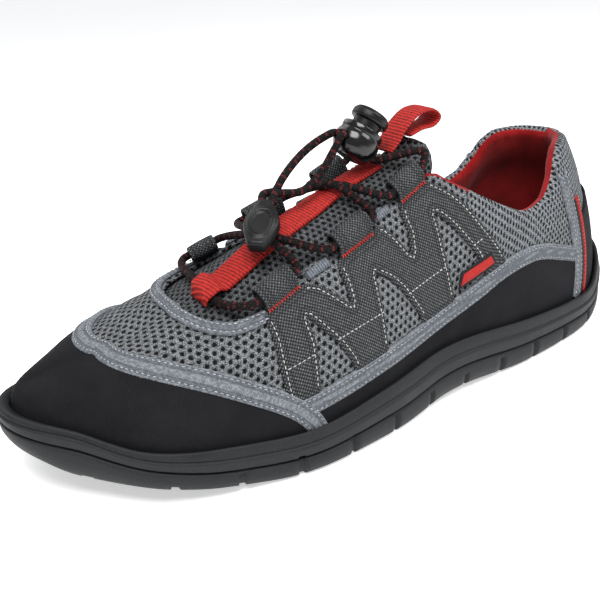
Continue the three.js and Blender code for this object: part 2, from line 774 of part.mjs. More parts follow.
function lockSolid() {
  const half = lockLength / 2;
  const rim = lockRadius * 0.88;
  const body = turnedSolid([
    [0, -half], [rim * 0.8, -half], [rim, -half * 0.8], [lockRadius, -half * 0.2], [lockRadius, half * 0.35],
    [rim, half * 0.85], [rim * 0.95, half], [recessRadius, half], [recessRadius, half - recessDepth], [0, half - recessDepth],
  ], 0);
  const width = 2 * (lockCordSpread + laceRadius + clearance);
  const slot = roundedSlot(new THREE.Shape(), 0, 0, width, laceHole);
  const geometry = new THREE.ExtrudeGeometry(slot, { depth: 4 * lockRadius, bevelEnabled: false, curveSegments: 4 });
  geometry.translate(0, 0, -2 * lockRadius);
  const across = new THREE.Vector3().crossVectors(lockAxis, lockForward);
  geometry.applyMatrix4(new THREE.Matrix4().makeBasis(across, lockAxis, lockForward));
  geometry.translate(...lockCentre.clone().addScaledVector(lockAxis, slotPlace).toArray());
  return body.subtract(solidOf(geometry));
}

function buttonSolid() {
  const foot = lockLength / 2 - recessDepth + clearance + buttonTravel;
  const flange = lockLength / 2 + clearance + buttonTravel;
  return turnedSolid([
    [0, foot], [stemRadius, foot], [stemRadius, flange], [buttonRadius * 0.94, flange],
    [buttonRadius, flange + 0.8], [buttonRadius, flange + buttonCap * 0.6],
    [buttonRadius * 0.86, flange + buttonCap * 0.9], [0, flange + buttonCap],
  ], 0);
}

// End clip, lying across the lace

const clipCentre = skin(0.594, 0.895, 8.4);
const clipUp = normalOf(0.594, 0.895);
const clipAxis = new THREE.Vector3(0.65, 0.62, -0.44);
clipAxis.addScaledVector(clipUp, -clipAxis.dot(clipUp)).normalize();
const clipSide = new THREE.Vector3().crossVectors(clipUp, clipAxis);

function clipSolid() {
  const half = curve([0, 0.12, 0.26, 0.5, 0.72, 0.9, 1], [0.5, 0.52, 0.8, 1, 0.84, 0.6, 0.46]);
  const rows = 11;
  const bevel = 0.9;
  const edgeAt = (i) => half(i / rows) * (clipWidth / 2 - bevel);
  const along = (i) => (i / rows - 0.5) * (clipLength - 2 * bevel);
  const outline = [];
  for (let i = 0; i <= rows; i += 1) outline.push(new THREE.Vector2(along(i), edgeAt(i)));
  for (let i = rows; i >= 0; i -= 1) outline.push(new THREE.Vector2(along(i), -edgeAt(i)));
  const geometry = new THREE.ExtrudeGeometry(new THREE.Shape(outline), {
    depth: clipThickness - 2 * bevel, bevelThickness: bevel, bevelSize: bevel, bevelSegments: 1,
  });
  geometry.translate(0, 0, bevel - clipThickness / 2);
  const place = new THREE.Matrix4().makeBasis(clipAxis, clipSide, clipUp).setPosition(clipCentre);
  return solidOf(geometry.applyMatrix4(place));
}

// Lace

const crossings = { front: skin(0.593, 0.905, 2.6), rear: skin(0.503, 0.915, 2.6) };
const slotMiddle = (side) => lockCentre.clone().addScaledVector(lockAxis, slotPlace)
  .add(new THREE.Vector3(0, side * lockCordSpread, 0));

// One half of the lace, from the lock through a top loop to the bar below the webbing
function laceHalf(outer) {
  const top = laceInLoop(outer, tacks[2]).reverse();
  const middle = laceInLoop(!outer, tacks[1]).reverse();
  const low = laceInLoop(outer, tacks[0]).reverse();
  const inLock = slotMiddle(sign(outer));
  const { axis, inward } = loopFrame(outer, tacks[2]);
  const turn = [[2.4, 5.4], [4.4, 3.4]].map(([past, across]) => top[0].clone()
    .addScaledVector(axis, past * sign(outer)).addScaledVector(inward, across));
  const barMiddle = skin(barPlace, 0.905, webbingBase + laceRadius);
  const barSide = skin(barPlace, outer ? 0.78 : 1.02, webbingBase + laceRadius + 0.2);
  const pastBand = skin(0.664, outer ? 0.68 : 1.24, 2.4);
  const pastMiddle = skin(barPlace, outer ? 0.93 : 0.88, webbingBase + laceRadius);
  const points = [
    ...[clearance / 2, lockRadius * 0.6, lockRadius + 1.4].map((d) => inLock.clone().addScaledVector(lockForward, -d)),
    ...turn, ...top, crossings.rear, ...middle, crossings.front, ...low, pastBand, barSide, barMiddle, pastMiddle,
  ];
  return tube(points, laceRadius, 44);
}

const laceSolid = () => laceHalf(true).add(laceHalf(false));

// Free ends of the lace: each leaves the lock forward and ends in the clip
const endRoutes = {
  arched: [[112.8, 0.3, 103.2], [120.5, 0, 99.6], [127.3, 1, 95.6], [132.3, 2, 91.8], [136.5, 3.4, 88.6]],
  low: [[110.2, 6.6, 101.5], [113.2, 6.4, 97.5], [116.7, 6.4, 93.2], [121.7, 6.8, 89.6], [127.7, 7.4, 87.4]],
};

function endSolid(name, side, last) {
  const leaving = [clearance / 2, lockRadius * 0.6, lockRadius + 1]
    .map((distance) => slotMiddle(side).addScaledVector(lockForward, distance));
  const middle = endRoutes[name].map((point) => new THREE.Vector3(...point));
  return tube([...leaving, ...middle, ...last], laceRadius, 20);
}

const group = new THREE.Group();

function add(name, piece, finish) {
  const { vertProperties, triVerts } = piece.getMesh();
  const geometry = new THREE.BufferGeometry();
  geometry.setAttribute("position", new THREE.BufferAttribute(new Float32Array(vertProperties), 3));
  geometry.setIndex(new THREE.BufferAttribute(new Uint32Array(triVerts), 1));
  geometry.computeVertexNormals();
  const mesh = new THREE.Mesh(geometry, new THREE.MeshStandardMaterial(finish));
  mesh.name = name;
  group.add(mesh);
}

const rubber = { color: 0x26282a, roughness: 0.7, metalness: 0 };
const knit = { color: 0x6a6e73, roughness: 0.9, metalness: 0 };
const guard = { color: 0x17181a, roughness: 0.85, metalness: 0 };
const tape = { color: 0x8a919b, roughness: 0.75, metalness: 0 };
const webbing = { color: 0x2b2e31, roughness: 0.8, metalness: 0 };
const red = { color: 0xc8231f, roughness: 0.7, metalness: 0 };
const foam = { color: 0x2a2a2c, roughness: 0.95, metalness: 0 };
const cord = { color: 0x1b1213, roughness: 0.8, metalness: 0 };
const glossy = { color: 0x0c0c0d, roughness: 0.25, metalness: 0 };
const matt = { color: 0x1d1e20, roughness: 0.6, metalness: 0 };

add("outsole", soleSolid(), rubber);
add("insole", insoleSolid(), foam);
add("upper", upperSolid(), knit);

// Bands and guards around the toe

const toeFar = beside(toeLine, toeBandWidth);
const toePast = beside(toeLine, toeBandWidth + clearance);
const toeArea = ruled(beside(toeLine, -clearance), beside(toeLine, lateralReach));

// Everything on the form from a line back to a place, level by level
function behind(line, to) {
  const rows = 9;
  return slab(Array.from({ length: rows }, (_, r) => line.map(([along, level]) => {
    const t = r / (rows - 1);
    return [along + (to - along) * t, level];
  })), cutLow, cutHigh);
}

const rearEnd = 0.55;
const rearBlock = new THREE.BoxGeometry(lastLength, 6 * halfWidth, 6 * halfWidth);
rearBlock.translate(xOf(rearEnd) - lastLength / 2, 0, halfWidth);
add("toe_band", layer.intersect(ruled(toeLine, toeFar)), tape);
add("toe_guard", layer.subtract(solidOf(rearBlock)).subtract(behind(toePast, 0.45)), guard);

// Bands, guards and straps of each side

function lowered(outer, line) {
  return line.map(([along]) => [along, outer ? lowLevel : 2 - lowLevel]);
}

function sidePieces(outer) {
  const side = outer ? "outer" : "inner";
  const down = sign(outer);
  const move = (line, distance) => beside(line, down * distance);
  const line = onSide(outer, quarterLine);
  const heel = onSide(outer, heelLine);
  const rear = ruled(move(heel, -clearance), move(heel, lateralReach));
  const band = layer.intersect(ruled(line, move(line, -quarterBandWidth)));
  const past = move(line, -quarterBandWidth - clearance);
  const below = layer.intersect(ruled(past, lowered(outer, line)));
  const top = collarPrism();
  add(`quarter_band_${side}`, band.subtract(toeArea).subtract(rear), tape);
  add(`side_guard_${side}`, below.subtract(toeArea).subtract(rear), guard);
  add(`heel_band_${side}`, layer.intersect(ruled(heel, move(heel, heelBandWidth))).subtract(top), tape);
  const short = onSide(outer, stripeLine);
  const stripe = ruled(move(short, stripeStart), move(short, stripeEnd));
  add(`heel_stripe_${side}`, layer.intersect(stripe), red);

  const panel = layer.intersect(slab(panelGrid(outer), cutLow, cutHigh));
  const openings = windows.map((outline) => cookie(onSide(outer, outline), cutLow, cutHigh));
  const bandArea = ruled(move(line, clearance), lowered(outer, line));
  const throatArea = ruled(beside(throatLine, -clearance), beside(throatLine, throatBandWidth + clearance));
  tapeSolid(outer).forEach((piece, i) => add(`eye_tape_${side}_${i + 1}`, piece, tape));
  const cut = [...openings, bandArea, toeArea, throatArea].reduce((rest, piece) => rest.subtract(piece), panel);
  add(`strap_panel_${side}`, cut, webbing);
}

function tapeSolid(outer) {
  return tapes.map((outline) => layer.intersect(cookie(onSide(outer, outline), cutLow, cutHigh)));
}

add("throat_band", layer.intersect(ruled(throatLine, beside(throatLine, throatBandWidth))), tape);
for (const outer of [true, false]) sidePieces(outer);

// Counter around the heel, between the two stripes
const counterLow = counterLine.map(([along]) => [along, lowLevel]);
const besideCounter = [true, false].map((outer) => {
  const heel = onSide(outer, heelLine);
  return ruled(beside(heel, -lateralReach * sign(outer)), beside(heel, (stripeEnd + clearance) * sign(outer)));
});
const counter = layer.intersect(ruled(counterLine, counterLow));
add("heel_counter", besideCounter.reduce((rest, piece) => rest.subtract(piece), counter), guard);

// Tongue, lace loops and lace
add("tongue", tongueSolid(), foam);
add("tongue_webbing", webbingSolid(), red);
add("pull_loop", pullLoopSolid(), red);
for (const outer of [true, false]) {
  tacks.forEach((tack, i) => {
    add(`lace_loop_${outer ? "outer" : "inner"}_${i + 1}`, loopSolid(outer, tack), webbing);
  });
}
add("lace", laceSolid(), cord);
add("cord_lock_barrel", lockSolid(), glossy);
add("cord_lock_button", buttonSolid(), glossy);
add("cord_end_clip", clipSolid(), matt);
const neck = clipCentre.clone().addScaledVector(clipAxis, -clipLength / 2 - clearance);
const neckWay = neck.clone().addScaledVector(clipAxis, -4);
const beforeNeck = (side) => [neckWay, neck].map((point) => point.clone().addScaledVector(clipSide, side * lockCordSpread));
add("lace_end_1", endSolid("arched", -1, beforeNeck(-1)), cord);
add("lace_end_2", endSolid("low", 1, beforeNeck(1)), cord);

// Side label on the rear strap
const labelBase = overlayTop + clearance;
add("side_label", slab(labelGrid, labelBase, labelBase + 0.8), red);

export default group;
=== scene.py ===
# %% [markdown]
# # A water shoe, dressed around its measured solids
# The solids of the shoe come in first and stay where they are. Each step below then makes one piece
# of cloth, rubber, cord or plastic on top of them, from the same sizes in millimetres.

import bmesh
import bpy
import numpy as np
from mathutils import Matrix, Vector, geometry, kdtree


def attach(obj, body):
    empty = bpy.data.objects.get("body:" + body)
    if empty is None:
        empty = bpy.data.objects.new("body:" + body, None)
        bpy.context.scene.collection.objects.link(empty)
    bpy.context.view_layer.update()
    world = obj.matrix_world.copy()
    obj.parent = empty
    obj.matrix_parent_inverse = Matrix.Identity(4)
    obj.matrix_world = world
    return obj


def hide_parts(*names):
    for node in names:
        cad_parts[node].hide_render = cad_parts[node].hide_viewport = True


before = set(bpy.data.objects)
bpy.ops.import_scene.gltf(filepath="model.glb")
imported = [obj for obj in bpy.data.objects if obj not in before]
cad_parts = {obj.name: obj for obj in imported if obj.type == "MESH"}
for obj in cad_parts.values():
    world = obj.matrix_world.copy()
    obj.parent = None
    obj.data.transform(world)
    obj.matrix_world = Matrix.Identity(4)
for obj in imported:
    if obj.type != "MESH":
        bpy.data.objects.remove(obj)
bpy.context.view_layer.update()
print("nodes loaded:", len(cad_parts))

# %% [markdown]
# ## The view
# A long lens close to the toe gives the shoe its steep perspective. The camera is placed by its
# position and by the direction from the shoe back to it, with a small roll, because a product shot is
# seldom level.

# %% Camera
MM = 0.001


def unit(vectors):
    length = np.linalg.norm(vectors, axis=-1, keepdims=True)
    return vectors / np.maximum(length, 1e-9)


back = unit(np.array([0.519, 0.752, 0.407]))
right = unit(np.cross([0, 0, 1], back))
up = np.cross(back, right)
roll = np.radians(-2.19)
turned_right = right * np.cos(roll) + up * np.sin(roll)
turned_up = up * np.cos(roll) - right * np.sin(roll)
lens = bpy.data.cameras.new("camera")
lens.lens = 54.2
lens.sensor_width = 36
lens.clip_start = 0.01
camera = bpy.data.objects.new("camera", lens)
camera.matrix_world = Matrix.Translation((0.3110, 0.2697, 0.1863)) @ Matrix(
    [[*row, 0] for row in np.stack([turned_right, turned_up, back], 1)] + [[0, 0, 0, 1]])
bpy.context.collection.objects.link(camera)
bpy.context.scene.camera = camera
print("camera at", [round(x, 3) for x in camera.matrix_world.translation])

# %% [markdown]
# ## The foot form
# A shoe is pulled over a last, so every cloth piece is a patch of one smooth surface. The surface is
# written as a function of two shares: "along" runs from heel 0 to toe 1, and "level" from the outer
# edge 0 over the top line 1 to the inner edge 2. Smooth curves through short tables give its shape.

# %% Tables of the form
LAST, HALF, INSTEP, COLLAR, RIM, START = 282.0, 50.0, 98.0, 86.0, 20.0, -43.3
EDGE = np.array([
    [0.0, 0.0, 0.0], [0.04, 0.39, 0.434], [0.15, 0.678, 0.59], [0.3, 0.776, 0.616],
    [0.45, 0.802, 0.54], [0.58, 0.924, 0.66], [0.68, 0.96, 0.822], [0.78, 0.864, 1.006],
    [0.88, 0.692, 0.904], [0.95, 0.31, 0.626], [1.0, -0.24, 0.24]])
HEIGHTS = np.array([
    [0.0, 0.1, 0.65, 1.505], [0.1, 0.0, 0.6, 0.86], [0.28, 0.0, 0.55, 1.0], [0.42, 0.125, 0.5, 1.15],
    [0.55, 0.0, 0.4, 1.015], [0.72, 0.0, 0.4, 0.805], [0.82, 0.15, 0.5, 0.905],
    [0.9, 0.375, 0.625, 1.06], [0.96, 0.5, 0.7, 1.33], [1.0, 0.76, 0.91, 1.43]])
RIDGE = np.array([
    [0.0, 0.27, 0.0, 1.27, 1.72], [0.2, 0.34, 0.0, 1.306, 1.85], [0.35, 0.429, 0.02, 1.0, 2.1],
    [0.5, 0.553, 0.06, 0.878, 1.85], [0.62, 0.66, 0.1, 0.786, 1.85], [0.75, 0.752, 0.12, 0.658, 1.9],
    [0.88, 0.837, 0.04, 0.515, 2.3], [1.0, 0.982, -0.26, 0.357, 2.9]])
COLLAR_LINE = np.array([
    [-0.05, 1.0], [0.02, 1.0], [0.085, 1.01], [0.145, 1.0], [0.174, 0.945], [0.192, 0.86], [0.22, 0.78],
    [0.259, 0.755], [0.3, 0.8], [0.365, 0.915], [0.418, 1.05], [0.436, 1.25], [0.44, 2.0]])
THROAT = np.array([
    [0.38, 0.74, 1.22], [0.43, 0.71, 1.22], [0.47, 0.69, 1.23], [0.488, 0.7, 1.235], [0.51, 0.65, 1.25],
    [0.55, 0.64, 1.27], [0.575, 0.66, 1.28], [0.6, 0.635, 1.29], [0.645, 0.62, 1.3],
    [0.672, 0.645, 1.27], [0.694, 0.71, 1.22], [0.71, 0.8, 1.15], [0.72, 0.9, 1.06]])


def curve(x, y):
    """A curve through points that rises and falls without overshoot."""
    x, y = np.asarray(x, float), np.asarray(y, float)
    step = np.diff(x)
    rise = np.diff(y) / step
    slope = np.concatenate([rise[:1], np.zeros(len(x) - 2), rise[-1:]])
    for i in range(1, len(x) - 1):
        if rise[i - 1] * rise[i] > 0:
            before = 2 * step[i] + step[i - 1]
            after = step[i] + 2 * step[i - 1]
            slope[i] = (before + after) / (before / rise[i - 1] + after / rise[i])

    def value(at):
        at = np.clip(np.asarray(at, float), x[0], x[-1])
        i = np.clip(np.searchsorted(x, at, side="left") - 1, 0, len(x) - 2)
        q = (at - x[i]) / step[i]
        p = 1 - q
        return ((1 + 2 * q) * p * p * y[i] + q * p * p * step[i] * slope[i]
                + q * q * (3 - 2 * q) * y[i + 1] - q * q * p * step[i] * slope[i + 1])
    return value


def share_of(along):
    return (1 - np.cos(np.pi * np.asarray(along, float))) / 2


def angle_of(share):
    return np.arccos(1 - 2 * np.asarray(share, float)) / np.pi


outer_edge = curve(angle_of(EDGE[:, 0]), EDGE[:, 1])
inner_edge = curve(angle_of(EDGE[:, 0]), EDGE[:, 2])
tread_at, feather_at, rim_at = [curve(HEIGHTS[:, 0], HEIGHTS[:, i]) for i in (1, 2, 3)]
ridge_x, ridge_y, ridge_z, fullness = [curve(RIDGE[:, 0], RIDGE[:, i]) for i in (1, 2, 3, 4)]
collar_up = curve(COLLAR_LINE[:, 0], COLLAR_LINE[:, 1])
throat_outer, throat_inner = [curve(THROAT[:, 0], THROAT[:, i]) for i in (1, 2)]
print("form", LAST, "mm long and", 2 * HALF, "mm wide")

# %% The form's surface, its slopes and its skin


def form(along, level):
    """Places on the form, in millimetres. Past the toe or the heel lies the other side."""
    u, v = np.broadcast_arrays(np.asarray(along, float), np.asarray(level, float))
    v = np.where((u > 1) | (u < 0), 2 - v, v)
    u = np.where(u > 1, 2 - u, np.abs(u))
    share = share_of(u)
    outer = v <= 1
    rise_by = np.where(outer, v, 2 - v)
    x = START + share * LAST
    y = np.where(outer, outer_edge(u), -inner_edge(u)) * HALF
    low = feather_at(share) * RIM
    power = 2 / fullness(share)
    turn = np.clip(rise_by, 0, 1) * np.pi / 2
    out, rise = np.cos(turn) ** power, np.sin(turn) ** power
    top_x, top_y = START + ridge_x(share) * LAST, ridge_y(share) * HALF
    top_z = ridge_z(share) * INSTEP
    z = low + (top_z - low) * rise + np.minimum(rise_by, 0) * RIM
    return np.stack([top_x + (x - top_x) * out, top_y + (y - top_y) * out, z], -1)


TINY = 1e-3    # step in shares for the slopes


def slope_along(u, v):
    return (form(u + TINY, v) - form(u - TINY, v)) / (2 * TINY)


def slope_up(u, v):
    return (form(u, v + TINY) - form(u, v - TINY)) / (2 * TINY)


def normal(u, v):
    u, v = np.broadcast_arrays(np.asarray(u, float), np.asarray(v, float))
    u = np.where(np.abs(v - 1) < 0.05, np.clip(u, 0.02, 0.98), u)
    return unit(np.cross(slope_up(u, v), slope_along(u, v)))


def skin(u, v, off=0.0):
    return form(u, v) + normal(u, v) * np.asarray(off, float)[..., None]


# %% [markdown]
# Cloth patterns need lengths on the surface, not shares. A fine table of the form holds how many
# millimetres each place lies from the middle of the foot and from the top line.

# %% Lengths on the surface
GRID_U, GRID_V = np.linspace(0, 1, 241), np.linspace(-0.1, 2.1, 221)
net_of_form = form(GRID_U[:, None], GRID_V[None, :])


def running(lengths, axis, zero):
    total = np.cumsum(lengths, axis=axis)
    total = np.insert(total, 0, 0, axis=axis)
    return total - np.take(total, [zero], axis=axis)


far_along = running(np.linalg.norm(np.diff(net_of_form, axis=0), axis=2), 0, 120)
far_up = running(np.linalg.norm(np.diff(net_of_form, axis=1), axis=2), 1, 110)


def lengths_at(u, v):
    """Millimetres along the foot and around it, for each place."""
    v = np.where((u > 1) | (u < 0), 2 - v, v)
    u = np.where(u > 1, 2 - u, np.abs(u))
    i = np.clip(u * 240, 0, 239.999)
    j = np.clip((v + 0.1) * 100, 0, 219.999)
    i0, j0 = i.astype(int), j.astype(int)
    p, q = i - i0, j - j0
    return [table[i0, j0] * (1 - p) * (1 - q) + table[i0 + 1, j0] * p * (1 - q)
            + table[i0, j0 + 1] * (1 - p) * q + table[i0 + 1, j0 + 1] * p * q
            for table in (far_along, far_up)]


print("around the foot at its middle:", round(float(np.ptp(far_up[120]))), "mm")

# %% [markdown]
# ## Finishes
# Every material is worked out from numbers on the surface. A small class wraps one socket, so that a
# pattern is written as a sum or product instead of as a row of boxes and wires.

# %% A socket that can be added and multiplied


class Wire:
    def __init__(self, finish, socket):
        self.finish, self.socket = finish, socket

    def math(self, operation, *values):
        return self.finish.node("ShaderNodeMath", {"operation": operation}, list(values))

    def __add__(self, other):
        return self.math("ADD", self, other)

    def __sub__(self, other):
        return self.math("SUBTRACT", self, other)

    def __rsub__(self, other):
        return self.math("SUBTRACT", other, self)

    def __mul__(self, other):
        return self.math("MULTIPLY", self, other)

    def __truediv__(self, other):
        return self.math("DIVIDE", self, other)

    def __pow__(self, other):
        return self.math("POWER", self, other)

    __radd__, __rmul__ = __add__, __mul__

    def floor(self):
        return self.math("FLOOR", self)

    def fraction(self):
        return self.math("FRACT", self)

    def distance(self):
        return self.math("ABSOLUTE", self)

    def wave(self, pitch):
        """A wave from 0 to 1 that repeats after a length."""
        return self.math("SINE", self * (2 * np.pi / pitch)) * 0.5 + 0.5

    def fade(self, start, end):
        """0 before start, 1 past end, smooth between them; start may be the larger."""
        values = {"Value": self, "From Min": start, "From Max": end}
        return self.finish.node("ShaderNodeMapRange", {"interpolation_type": "SMOOTHSTEP"}, values)


def hue(code):
    """Linear colour of a hexadecimal code."""
    parts = [int(code[i:i + 2], 16) / 255 for i in (0, 2, 4)]
    return (*[c / 12.92 if c <= 0.04045 else ((c + 0.055) / 1.055) ** 2.4 for c in parts], 1.0)


class Finish:
    def __init__(self, name, **constants):
        self.material = bpy.data.materials.new(name)
        self.material.use_nodes = True
        self.tree = self.material.node_tree
        self.shader = self.tree.nodes["Principled BSDF"]
        for socket, value in constants.items():
            self.shader.inputs[socket.replace("_", " ")].default_value = value

    def node(self, kind, settings=None, values=(), output=0):
        made = self.tree.nodes.new(kind)
        for key, value in (settings or {}).items():
            setattr(made, key, value)
        for key, value in values.items() if isinstance(values, dict) else enumerate(values):
            if isinstance(value, Wire):
                self.tree.links.new(value.socket, made.inputs[key])
            else:
                made.inputs[key].default_value = value
        return Wire(self, made.outputs[output])

    def axes(self, vector):
        return [self.node("ShaderNodeSeparateXYZ", None, [vector], i) for i in range(3)]

    def lay(self):
        """The cloth's own vector: millimetres along, millimetres around, millimetres to its edge."""
        return self.node("ShaderNodeAttribute", {"attribute_name": "lay"}, (), 1)

    def place(self):
        """Place on the shoe, in millimetres."""
        place = self.node("ShaderNodeTexCoord", None, (), 3)
        return self.node("ShaderNodeVectorMath", {"operation": "SCALE"}, {0: place, "Scale": 1000.0})

    def noise(self, vector, scale, detail=2.0):
        return self.node("ShaderNodeTexNoise", None, {"Vector": vector, "Scale": scale, "Detail": detail})

    def mix(self, share, first, second):
        first, second = [hue(c) if isinstance(c, str) else c for c in (first, second)]
        return self.node("ShaderNodeMix", {"data_type": "RGBA"}, {0: share, 6: first, 7: second}, 2)

    def wear(self, colour=None, roughness=None, height=None, depth=0.3, strength=1.0):
        """Connects what varies: the colour, the roughness, and a height in shares of a depth in mm."""
        if height is not None:
            bump = self.node("ShaderNodeBump", None, {
                "Height": height, "Distance": depth * MM, "Strength": strength})
            self.tree.links.new(bump.socket, self.shader.inputs["Normal"])
        if colour is not None:
            self.tree.links.new(colour.socket, self.shader.inputs["Base Color"])
        if roughness is not None:
            self.tree.links.new(roughness.socket, self.shader.inputs["Roughness"])
        return self.material


# %% [markdown]
# The upper is a warp-knit net: light grey yarn around holes in staggered rows. The holes are not cut
# through: their near-black colour is painted shade for the dark inside seen through them. They are
# wide at the toe and long and narrow at the collar. Each hole is the distance to the nearest point
# of a staggered grid, bent a little by noise, because knitting is never quite regular.

# %% Nets


def net(name, along, across, hole, light, dark, hollow, squeeze=1.0, depth=0.9):
    finish = Finish(name, Roughness=0.85, Specular_IOR_Level=0.2)
    lay = finish.lay()
    a, b, edge = finish.axes(lay)
    wander = finish.noise(lay, 0.35, 1.0) - 0.5
    a, b = a + wander * 0.9, b + (finish.noise(lay, 0.29, 1.0) - 0.5) * 0.9
    row = (b / across).floor()
    x = ((a / along + row * 0.5).fraction() - 0.5) * along
    y = ((b / across).fraction() - 0.5) * (across * squeeze)
    away = (x ** 2.0 + y ** 2.0) ** 0.5
    yarn = away.fade(hole - 0.22, hole + 0.22)
    rib = (a + b * 0.5).wave(0.75) * (b - a * 0.4).wave(0.62)
    melange = finish.noise(lay, 2.3, 2.0).fade(0.42, 0.58)
    cloth = finish.mix(melange * 0.75 + rib * 0.25, dark, light)
    # painted shade: inside the holes the colour is near black, standing in for the shadow seen through a real
    # hole
    colour = finish.mix(yarn, hollow, cloth)
    height = away.fade(hole - 0.35, hole + 0.75) * 0.85 + rib * 0.15
    return finish.wear(colour, None, height, depth)


# the last colour of each net is the painted shade in its holes
toe_net = net("toe_net", 3.1, 2.7, 0.84, "999c9f", "2c2e31", "070809")
collar_net = net("collar_net", 2.5, 2.2, 0.68, "a2a6aa", "313437", "0a0b0c", 0.8, 0.6)
tongue_net = net("tongue_net", 2.8, 2.4, 0.8, "75787b", "1d1f21", "050506")
print("nets:", toe_net.name, collar_net.name, tongue_net.name)

# %% [markdown]
# The guards are a dense twill, the straps a coarse basket weave with light flecks, the tapes a
# brushed ribbon and the red webbing a ribbed grosgrain. The third number of the cloth's vector is the
# distance to its cut edge, which places the sewn troughs along the seams: the bump presses them in,
# and painted shade darkens them.

# %% Woven cloths


def seam(edge, place, width=0.55):
    """1 along a sewn line at a distance from the edge, 0 away from it."""
    return 1 - (edge - place).distance().fade(width * 0.35, width)


def twill(name, light, dark):
    finish = Finish(name, Roughness=0.85, Specular_IOR_Level=0.15)
    lay = finish.lay()
    a, b, edge = finish.axes(lay)
    line = (a + b).wave(0.9)
    thread = (a - b).wave(0.5)
    fleck = finish.noise(lay, 1.6, 3.0).fade(0.56, 0.74)
    cloud = finish.noise(lay, 0.06, 2.0).fade(0.3, 0.7)
    shade = line * 0.4 + thread * 0.15 + cloud * 0.2 + fleck * 0.3
    colour = finish.mix(shade, dark, light)
    return finish.wear(colour, None, line * 0.6 + thread * 0.4, 0.14)


def basket(name, pitch, light, dark, fleck_colour):
    finish = Finish(name, Roughness=0.75, Specular_IOR_Level=0.25)
    lay = finish.lay()
    a, b, edge = finish.axes(lay)
    weave = a.wave(pitch) * b.wave(pitch) + (1 - a.wave(pitch)) * (1 - b.wave(pitch))
    weave = weave ** 3.0
    fleck = finish.noise(lay, 1.4, 1.0).fade(0.5, 0.62) * weave
    trough_with_painted_shade = seam(edge, 1.7) + seam(edge, 3.4) * 0.8
    cloth = finish.mix(weave, dark, light)
    cloth = finish.mix(fleck * 0.7, cloth, fleck_colour)
    # painted shade: the sewn troughs are darkened toward the dark yarn, as well as pressed in by the bump
    colour = finish.mix(trough_with_painted_shade * 0.5, cloth, dark)
    return finish.wear(colour, None, weave * 0.35 - trough_with_painted_shade * 0.8, 0.35)


def ribbon(name, light, dark, pitch, rows=(), depth=0.16, ribbed=0.65, upright=False):
    """Ribs across the foot's length, or around it on a ribbon that runs upright."""
    finish = Finish(name, Roughness=0.68, Specular_IOR_Level=0.3)
    lay = finish.lay()
    a, b, edge = finish.axes(lay)
    rib = (b if upright else a).wave(pitch)
    cloud = finish.noise(lay, 0.9, 3.0)
    colour = finish.mix(rib * ribbed + cloud.fade(0.35, 0.7) * (1 - ribbed), dark, light)
    height = rib * 0.8 + cloud * 0.2
    for place in rows:
        # painted shade: each sewn row is darkened toward grey, as well as pressed in by the bump
        colour = finish.mix(seam(edge, place) * 0.6, colour, "3c4046")
        height = height - seam(edge, place) * 1.6
    return finish.wear(colour, None, height, depth)


guard_cloth = twill("guard_cloth", "26262a", "060607")
strap_cloth = basket("strap_cloth", 1.45, "626567", "121314", "888b8d")
stripe_cloth = basket("stripe_cloth", 1.0, "2b2c2f", "0a0a0b", "444649")
band_tape = ribbon("band_tape", "878b90", "595d62", 0.8, (1.3, 2.3), ribbed=0.15)
eye_tape = ribbon("eye_tape", "777c84", "3a3e44", 1.1)
red_webbing = ribbon("red_webbing", "cb2a22", "5e0806", 1.35, depth=0.4)
red_stripe = ribbon("red_stripe", "c4271f", "6e0a08", 1.7, depth=0.4, upright=True)
label_cloth = ribbon("label_cloth", "c22a26", "84100f", 0.6)
print("cloths:", guard_cloth.name, strap_cloth.name, band_tape.name, red_webbing.name)

# %% [markdown]
# The lining is a soft brushed knit, the lace a round braid with red flecks, and the sewing thread a
# plain twisted yarn. Rubber and plastic are smooth with a fine grain, so their roughness varies.

# %% Linings, braid, thread, rubber and plastics


def brushed(name, light, dark):
    finish = Finish(name, Roughness=0.92, Specular_IOR_Level=0.2, Sheen_Weight=0.1)
    lay = finish.lay()
    a, b, edge = finish.axes(lay)
    fibre = finish.noise(lay, 1.4, 4.0)
    knit = a.wave(1.3) * b.wave(1.0)
    cloud = finish.noise(lay, 0.09, 2.0).fade(0.3, 0.7)
    colour = finish.mix(fibre * 0.5 + knit * 0.2 + cloud * 0.3, dark, light)
    return finish.wear(colour, None, fibre * 0.6 + knit * 0.4, 0.2)


def braid(name, dark, light, fleck_colour):
    finish = Finish(name, Roughness=0.75, Specular_IOR_Level=0.2)
    lay = finish.lay()
    a, b, edge = finish.axes(lay)
    strand = (a + b * 0.8).wave(1.5) * (a - b * 0.8).wave(1.5)
    turn = (a / 1.9).floor() + ((b + a * 0.5) / 1.57).floor() * 0.5
    fleck = (turn * 0.37).fraction().fade(0.56, 0.6) * (a / 1.9).fraction().fade(0.5, 0.62)
    colour = finish.mix(strand, dark, light)
    colour = finish.mix(fleck * (strand * 0.6 + 0.2), colour, fleck_colour)
    return finish.wear(colour, None, strand, 0.3)


def yarn(name, light, dark):
    finish = Finish(name, Roughness=0.7)
    shade = finish.noise(finish.place(), 1.5, 2.0).fade(0.3, 0.7)
    return finish.wear(finish.mix(shade, dark, light), None, shade, 0.1)


def moulded(name, light, dark, rough, grain, depth, coat=0.0):
    finish = Finish(name, Coat_Weight=coat, Coat_Roughness=0.12, Specular_IOR_Level=0.3)
    place = finish.place()
    fine = finish.noise(place, grain, 3.0)
    cloud = finish.noise(place, 0.08, 2.0).fade(0.3, 0.7)
    colour = finish.mix(fine.fade(0.4, 0.75) * 0.6 + cloud * 0.4, dark, light)
    return finish.wear(colour, fine * 0.12 + cloud * 0.1 + rough, fine, depth, 0.6)


